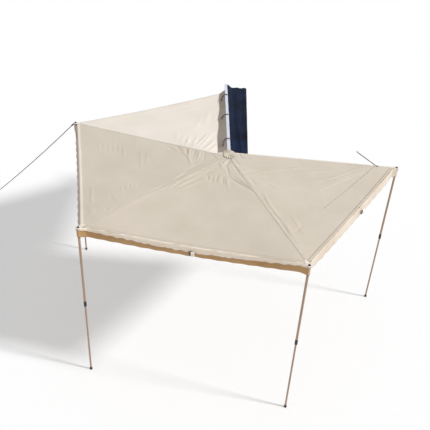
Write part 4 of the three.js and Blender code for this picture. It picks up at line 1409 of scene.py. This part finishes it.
def ridge_trim(index, word, at_start, width):
    """The tape along one ridge of a panel, and its stitches."""
    # Ridge stitches on the second and third panels and the back hem's tape take the lighter cloth with
    # painted light; the first panel's tape takes its cloth with painted sunlight
    ridge_thread = "painted_light_band" if index in (1, 2) else "cloth"
    tape = "sunlit_painted_cloth" if index == 0 else "cloth"
    if width == BACK_HEM_WIDTH:
        tape = "painted_light_band"
    label = f"panel_{index + 1}_{word}"
    seam = width - STITCH_INSET
    stitch = seam - STITCH_WIDTH
    near = -TAPE_OVERLAP if at_start else TAPE_OVERLAP
    return [
        ridge_strip(f"{label}_tape", index, near, width, TAPE_LIFT, tape, at_start),
        ridge_strip(f"{label}_stitch", index, stitch, seam, STITCH_LIFT, ridge_thread, at_start),
    ]


def canopy_trim(index):
    """The ridge tapes, the hem and the stitches of one panel."""
    last = index == ARM_COUNT - 1
    pieces = ridge_trim(index, "start", True, TAPE_WIDTH) if index > 0 else []
    pieces += ridge_trim(index, "end", False, BACK_HEM_WIDTH if last else TAPE_WIDTH)
    # The first panel's hem takes the cloth with painted sunlight, the second panel's hem the lighter cloth
    # with painted light
    hem = {0: "sunlit_painted_cloth", 1: "painted_light_band"}.get(index, "cloth")
    inner = 1 - BAND_SHARE
    pieces.append(rim_strip(f"panel_{index + 1}_hem", index, BAND_END, inner, TAPE_LIFT, hem))
    # The last panel's outer stitch is the dark one, painted shadow under its rolled hem
    outer_stitch = (PAINTED_SHADOW_STITCH_WIDTH, "painted_shadow") if last else (RIM_STITCH_WIDTH, "seam")
    stitches = [(inner + RIM_STITCH_INSET, RIM_STITCH_WIDTH, "seam"), (RIM_STITCH_PLACE, *outer_stitch)]
    for row, (place, width, thread) in enumerate(stitches, 1):
        name = f"panel_{index + 1}_hem_stitch_{row}"
        pieces.append(rim_strip(name, index, place + width, place, STITCH_LIFT, thread))
    return pieces


def grid_area(grid):
    """The area of a surface given as a grid of points."""
    across = grid[:-1, 1:] - grid[:-1, :-1]
    along = grid[1:, :-1] - grid[:-1, :-1]
    return float(np.linalg.norm(np.cross(across, along), axis=-1).sum())


def declare_panel(index, trim):
    """Works out a panel's flat area and adds its rolled edge to its trim; neither is used after."""
    steps = np.linspace(0, 1, AREA_STEPS)
    area = grid_area(surface_point(index, steps[None, :], steps[:, None]))
    if index in rolls:
        trim = trim + [rolls[index]]


for index in range(ARM_COUNT):
    declare_panel(index, canopy_trim(index))


# Corners: a patch over each arm's tip, with an eyelet round the stud


def ring_body(profile, place, sides=40):
    """A closed ring turned about an upright axis through a place."""
    rings = []
    for x, y in circle(sides):
        out = Vector((x, y, 0))
        rings.append([Vector(place) + out * radius + Vector((0, 0, height)) for radius, height in profile])
    return skinned(rings, closed=True)


def patch_point(index, share, angle):
    """A place on a patch: round the stud, long towards the hub, drooping past the tip's sides."""
    inward, beside = math.cos(angle), math.sin(angle)
    deep = PATCH_IN if inward > 0 else PATCH_OUT
    reach = deep * PATCH_SIDE / math.hypot(PATCH_SIDE * inward, deep * beside)
    radius = PATCH_HOLE + (reach - PATCH_HOLE) * min(1.0, share * PATCH_SPREAD)
    along = ARM_REACH - radius * inward
    rise = APEX_RISE * max(0.0, ARM_REACH - CORNER_INSET - along) / ARM_REACH
    rim = max(0.0, (share - PATCH_DROOP_START) / (1 - PATCH_DROOP_START)) ** PATCH_DROOP_CURVE
    droop = PATCH_DROPS[index] * rim * smoothstep(-inward, PATCH_DROOP_SIDE, 0.0)
    return on_arm(index, along, radius * beside, PATCH_LEVEL + rise - droop)


def corner_patch(index):
    """A patch of strong cloth with a hole for the stud, and the eyelet round the hole."""
    turns = [2 * math.pi * s / PATCH_SIDES for s in range(PATCH_SIDES + 1)]
    shares = [r / PATCH_RINGS for r in range(PATCH_RINGS + 1)]
    grid = in_frame([[patch_point(index, share, angle) for angle in turns] for share in shares])
    body = f"arm_{index + 1}"
    # The patch is cut from the lighter cloth with painted light
    solid(f"corner_patch_{index + 1}", closed_ring_sheet(grid, PATCH_THICKNESS), "painted_light_band", body, "cloth")
    place = in_frame(on_arm(index, ARM_REACH, 0.0, PATCH_LEVEL + EYELET_LIFT))
    solid(f"corner_eyelet_{index + 1}", ring_body(EYELET_PROFILE, place), "black", body, "black")


def closed_ring_sheet(grid, thickness):
    """A closed flat ring from a grid whose first and last columns meet."""
    grid = grid[:, :-1]
    rows, columns = grid.shape[:2]
    top = grid.reshape(-1, 3)
    points = np.concatenate((top, top - np.array((0, 0, thickness))))
    size = len(top)
    faces = []
    for r in range(rows - 1):
        for c in range(columns):
            a, b = r * columns + c, r * columns + (c + 1) % columns
            faces.append((a, b, b + columns, a + columns))
            faces.append((a + size, a + columns + size, b + columns + size, b + size))
    for c in range(columns):
        a, b = c, (c + 1) % columns
        faces.append((b, a, a + size, b + size))
        a, b = a + (rows - 1) * columns, b + (rows - 1) * columns
        faces.append((a, b, b + size, a + size))
    return points, faces


for index in range(ARM_COUNT):
    corner_patch(index)


# Cloth cap that is gathered over the hub and the rail's rear end


def cap_height(x, y, share, angle):
    """Pleats that grow outwards, less the fall towards the near edge and over the rail."""
    wave = 0.5 + 0.5 * math.cos(CAP_PLEATS * angle + CAP_PLEAT_DRIFT * math.sin(2 * angle))
    pleat = CAP_PLEAT_HEIGHT * wave ** CAP_PLEAT_CURVE * smoothstep(share, 0, 1)
    near = 1 - smoothstep(y, *CAP_NEAR_SIDE)
    over_rail = smoothstep(x, *CAP_RAIL_SIDE) * smoothstep(y, *CAP_RAIL_REACH)
    fall = (CAP_EDGE_FALL + CAP_NEAR_FALL * near) * share ** 2 + CAP_RAIL_FALL * over_rail
    return CAP_TOP - fall + pleat


def cap_point(share, angle, hangs):
    """A place on the cap. The last ring hangs down as a skirt at the rail."""
    out_x, out_y = math.cos(angle), math.sin(angle)
    ragged = 1 + sum(depth * math.sin(count * angle + start) for depth, count, start in CAP_RAGGED)
    x = CAP_CENTRE[0] + out_x * CAP_SIZE[0] * share * ragged
    y = CAP_CENTRE[1] + out_y * CAP_SIZE[1] * share * ragged
    z = cap_height(x, y, share, angle)
    if hangs:
        skirt = smoothstep(y, *CAP_SKIRT_REACH) * smoothstep(x, *CAP_SKIRT_SIDE)
        z -= (z - CAP_SKIRT_BOTTOM) * skirt + CAP_EDGE_DROP * (1 - skirt)
        x += CAP_SKIRT_OUT * out_x
        y += CAP_SKIRT_OUT * out_y
    return x, y, z


def hub_cap():
    """A small sheet with pleats that run out from the hub, and a skirt at the rail."""
    turns = np.linspace(0, 2 * math.pi, CAP_SIDES + 1)
    rings = [(r / CAP_RINGS, False) for r in range(CAP_RINGS + 1)] + [(1.0, True)]
    grid = in_frame([[cap_point(share, angle, hangs) for angle in turns] for share, hangs in rings])
    grid[0, :, :2] += CAP_HOLE * np.stack((np.cos(turns), np.sin(turns)), axis=-1)
    cap = solid("hub_cap_cloth", closed_ring_sheet(grid, CLOTH), "cloth", "rail", "cloth")


hub_cap()


# Elastic ties on the rail, each one cord doubled through a toggle


def strip_height(x, y):
    """The height of the steep strip beside the rail."""
    slope = STRIP_DROP / float(strip_width(y, 1.0))
    return RAIL_TOP - CLOTH_SOLID - slope * max(0.0, RAIL_LEFT - x)


def tie_middle(place, slant):
    """The middle line between a tie's strands: over the rail's top, round its edge, down the strip."""
    points = []
    for share in np.linspace(0, 1, TIE_OVER_STEPS):
        x = TIE_END_X + (TIE_TURN_X - TIE_END_X) * share
        points.append((x, place, TIE_LIFT_OVER * math.sin(math.pi * share)))
    for share in np.linspace(0, 1, TIE_BESIDE_STEPS)[1:]:
        x = TIE_TURN_X - TIE_REACH * (1 - (1 - share) ** TIE_REACH_CURVE)
        rise = TIE_LIFT_BESIDE * (math.sin(math.pi * share) + share)
        points.append((x, place - slant * share ** TIE_SLANT_CURVE, rise))
    return np.array(points)


def tie_strand(place, slant, hand):
    """One strand, beside the middle line by half the spacing, which widens to the loop's end."""
    middle = tie_middle(place, slant)
    widened = smoothstep(np.linspace(0, 1, len(middle)), *TIE_WIDENING)[:, None]
    half = hand * (TIE_HALF_SPACING + (TIE_HALF_END - TIE_HALF_SPACING) * widened)
    flat = middle[:, :2] + half * sideways(middle)
    points = []
    for (x, y), rise in zip(flat, middle[:, 2]):
        over = RAIL_TOP + TIE_CORD / 2 + TIE_RAIL_GAP
        beside = strip_height(x, y) + TIE_CORD / 2 + TIE_STRIP_GAP
        base = over + (beside - over) * float(smoothstep(RAIL_LEFT - x, *TIE_TURN_ROUND))
        points.append((x, y, base + rise))
    return points


def tie_loop(number, place, slant):
    """A cord that runs down, round its end and back, with a toggle there and a sleeve on the rail."""
    down = tie_strand(place, slant, 1)
    back = tie_strand(place, slant, -1)[::-1]
    route = [Vector(p) for p in in_frame(np.array(down + back))]
    last, first = len(down) - 1, len(down)
    end = (route[last] + route[first]) / 2
    before = (route[last - 2] + route[first + 2]) / 2
    heading = (end - before).normalized()
    across = (route[last] - route[first]) / 2
    turn = []
    for i in range(1, TIE_END_STEPS):
        angle = math.pi * i / TIE_END_STEPS
        turn.append(end + across * math.cos(angle) + heading * (TIE_HALF_END * math.sin(angle)))
    route = route[:first] + turn + route[first:]
    shape = tube(route, TIE_CORD / 2, TIE_SIDES)
    cord = mesh_object(f"tie_cord_{number}", *shape, MATERIALS["cord"])
    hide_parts(f"tie_loop_{number}")
    profile = [(r * TOGGLE_RADIUS, h * TOGGLE_LENGTH) for r, h in TOGGLE_PROFILE]
    shape = turned(profile, end, heading, TOGGLE_SIDES)
    toggle = mesh_object(f"tie_toggle_{number}", *shape, MATERIALS["black"])
    ends = [(TIE_END_X, place + hand * SLEEVE_HALF, RAIL_TOP + SLEEVE_HEIGHT) for hand in (-1, 1)]
    shape = tube(in_frame(np.array(ends)), SLEEVE_RADIUS, ROPE_SIDES)
    sleeve = solid(f"tie_sleeve_{number}", shape, "black", "rail", "black")
    for piece in (cord, toggle):
        fold_with_arms(piece, 0)


for number, (share, slant) in enumerate(TIES, 1):
    tie_loop(number, RAIL_START + (RAIL_END - RAIL_START) * share, slant)


# A second seam on the last panel with a dark line that paints its crease's shadow, its eyelet, and webbing
# tabs at the edges' middles with dark strips that paint their shadows


def panel_places(index, points):
    """The u and v of places on a panel, from their x and y, found in repeated steps."""
    u = np.full(points.shape[:-1], 0.5)
    v = np.full(points.shape[:-1], 0.5)
    for _ in range(SEARCH_STEPS):
        here = surface_point(index, u, v)[..., :2]
        by_u = (surface_point(index, u + SEARCH_STEP, v)[..., :2] - here) / SEARCH_STEP
        by_v = (surface_point(index, u, v + SEARCH_STEP)[..., :2] - here) / SEARCH_STEP
        miss = points - here
        size = by_u[..., 0] * by_v[..., 1] - by_u[..., 1] * by_v[..., 0]
        u = u + (miss[..., 0] * by_v[..., 1] - miss[..., 1] * by_v[..., 0]) / size
        v = v + (by_u[..., 0] * miss[..., 1] - by_u[..., 1] * miss[..., 0]) / size
    return np.clip(u, 0, 1), np.clip(v, 0, 1)


def panel_seam(name, width, end_width, lift, material):
    """A straight seam across the last panel, which may get thinner on its way."""
    start, end = [np.array(place) for place in SEAM_LINE]
    run = end - start
    beside = np.array((run[1], -run[0])) / np.hypot(*run)
    share = np.linspace(0, 1, SEAM_STEPS + 1)[:, None, None]
    widths = width + (end_width - width) * share
    offsets = np.linspace(-0.5, 0.5, STRIP_LINES)[None, :, None] * widths
    index = ARM_COUNT - 1
    u, v = panel_places(index, start + run * share + beside * offsets)
    laid_strip(name, index, u, v, lift, material)


def back_eyelet():
    """The eyelet in the back hem, close to the start of the tie rope."""
    index = ARM_COUNT - 1
    v = np.array([(BACK_EYELET_SHARE - APEX_SHARE) / (1 - APEX_SHARE)])
    u = along_edge(index, BACK_EYELET_INSET, v, False)
    place = dressed_surface(index, u, v)[0]
    place[2] += TAPE_LIFT + PATCH_LIFT
    eyelet = mesh_object("back_eyelet", *ring_body(EYELET_PROFILE, place), MATERIALS["black"])
    fold_with_arms(eyelet, index)


def webbing_tab(name, index, place, width, material):
    """A loop of webbing sewn to a valance: out, round and back."""
    point, beyond = panel_point(index, np.array([place, place + TAB_AIM]), np.array([1.0, 1.0]))
    ahead = Vector((*(beyond - point)[:2], 0)).normalized()
    outward = Vector((ahead.y, -ahead.x, 0))
    if outward.x * point[0] + outward.y * point[1] < 0:
        outward = -outward
    base = Vector(point) + Vector(HUB)
    stand = FLARES[index] * TAB_FLARE_SHARE + TAB_STAND
    rings = []
    for share in np.linspace(*TAB_SPAN, TAB_STEPS + 1):
        turn = 2 * math.pi * share
        out = stand + TAB_REACH / 3 * (1 - math.cos(turn)) / 2
        drop = -VALANCE_DEPTH * TAB_DROP_SHARE + TAB_REACH / 2 * math.sin(turn)
        centre = base + outward * out + Vector((0, 0, drop))
        facing = (outward * math.cos(turn) - Vector((0, 0, 1)) * math.sin(turn)).normalized()
        ring = []
        for side, thick in ((-1, -1), (1, -1), (1, 1), (-1, 1)):
            ring.append(centre + ahead * (side * width / 2) + facing * (thick * TAB_THICKNESS / 2))
        rings.append(ring)
    tab = mesh_object(name, *skinned(rings), MATERIALS[material])
    soften(tab, TAB_ROUNDING)
    fold_with_arms(tab, index)


panel_seam("panel_4_seam", SEAM_WIDTH, SEAM_WIDTH, TAPE_LIFT, "cloth")
# A dark line in seam colour that narrows along the seam: painted shadow of the crease, on a raised seam
# that is real geometry
panel_seam("panel_4_seam_shadow_line", SEAM_SHADOW_LINE, SEAM_SHADOW_LINE_END, STITCH_LIFT, "seam")
back_eyelet()
for k, tab_place, shadow_place in TABS:
    webbing_tab(f"webbing_tab_{k}", k - 1, tab_place, TAB_WIDTH, "webbing")
    # A narrow dark strip beside each tab, made like a tab: painted shadow of the tab
    webbing_tab(f"tab_painted_shade_{k}", k - 1, shadow_place, TAB_WIDTH / 2, "painted_shadow")


# Legs: drawn tubes, a ribbed twist collar and a rubber foot


def leg_place(index):
    return in_frame(on_arm(index, ARM_REACH, 0.0, 0.0))


def leg_tube(part, index, radius, bottom, top, body):
    """A drawn tube with slightly rounded ends."""
    inner = radius - LEG_WALL
    profile = [
        (inner, bottom + LEG_EDGE), (inner + LEG_EDGE, bottom),
        (radius - LEG_EDGE, bottom), (radius, bottom + LEG_EDGE),
        (radius, top - LEG_EDGE), (radius - LEG_EDGE, top),
        (inner + LEG_EDGE, top), (inner, top - LEG_EDGE),
    ]
    k = index + 1
    shape = ring_body(profile, leg_place(index), LEG_SIDES)
    solid(f"leg_tube_{part}_{k}", shape, "bronze", f"{body}_{k}", "bronze", f"leg_{part}_{k}")


def collar_outline():
    """Radius, height and share of the ribs, round the section of a collar."""
    wide, narrow = UPPER_RADIUS + CLEARANCE, LOWER_RADIUS + CLEARANCE
    neck, shoulder = COLLAR_RADIUS - COLLAR_NECK, COLLAR_RADIUS - COLLAR_SHOULDER
    waist = np.linspace(COLLAR_BOTTOM + COLLAR_PLAIN, COLLAR_TOP - COLLAR_PLAIN, COLLAR_LEVELS)
    bottom = [
        (narrow, COLLAR_BOTTOM, 0), (COLLAR_RADIUS - COLLAR_ROUND, COLLAR_BOTTOM, 0),
        (shoulder, COLLAR_BOTTOM + COLLAR_ROUND, 0), (neck, waist[0] - COLLAR_STEP, 0),
    ]
    top = [
        (neck, waist[-1] + COLLAR_STEP, 0), (shoulder, COLLAR_TOP - COLLAR_ROUND, 0),
        (COLLAR_RADIUS - COLLAR_ROUND / 2, COLLAR_TOP, 0), (wide, COLLAR_TOP, 0),
    ]
    seat = [(wide, UPPER_END - CLEARANCE, 0), (narrow, UPPER_END - CLEARANCE, 0)]
    return bottom + [(COLLAR_RADIUS, height, 1) for height in waist] + top + seat


def leg_collar(index):
    """A twist collar: ribs round its waist, plain rounded ends, bored for both tubes."""
    place = Vector(leg_place(index))
    outline = collar_outline()
    rings = []
    for s in range(COLLAR_SIDES):
        angle = 2 * math.pi * s / COLLAR_SIDES
        groove = COLLAR_RIB_DEPTH * (0.5 - 0.5 * math.cos(COLLAR_RIBS * angle)) ** 2
        out = Vector((math.cos(angle), math.sin(angle), 0))
        rings.append([place + out * (r - ribbed * groove) + Vector((0, 0, h)) for r, h, ribbed in outline])
    k = index + 1
    shape = skinned(rings, closed=True)
    solid(f"twist_collar_{k}", shape, "black", f"collar_{k}", "black", f"leg_collar_{k}")


def leg_foot(index):
    """A rubber cup with a flared sole, two grooves and a soft upper rim."""
    k = index + 1
    shape = ring_body(FOOT_PROFILE, leg_place(index), FOOT_SIDES)
    solid(f"rubber_foot_{k}", shape, "rubber", f"lower_{k}", "black", f"leg_foot_{k}")


for index in range(ARM_COUNT):
    leg_tube("upper", index, UPPER_RADIUS, UPPER_END, UPPER_TOP, "leg")
    leg_tube("lower", index, LOWER_RADIUS, FOOT_SOLE + CLEARANCE, LOWER_TOP, "lower")
    leg_collar(index)
    leg_foot(index)


# Metal and plastic pieces that keep their solid shape


def finish_node(name, material, rounded):
    """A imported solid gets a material, joined corners and slightly rounded edges."""
    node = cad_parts[name]
    for place in node.material_slots:
        place.material = material
    node.data.polygons.foreach_set("use_smooth", [True] * len(node.data.polygons))
    joined = node.modifiers.new("joined_corners", "WELD")
    joined.merge_threshold = WELD_DISTANCE
    soften(node, rounded)


for name, (finish, rounded) in CAD_FINISH.items():
    finish_node(name, MATERIALS[finish], rounded)
for k in range(1, ARM_COUNT + 1):
    metal = metal_material(f"arm_silver_{k}", *ARM_METAL, FAN_STEP * k)
    finish_node(f"arm_tube_{k}", metal, ARM_TUBE_ROUNDING)
    for name, (finish, rounded) in ARM_FINISH.items():
        finish_node(f"{name}_{k}", MATERIALS[finish], rounded)

bpy.context.scene.view_settings.view_transform = "Standard"
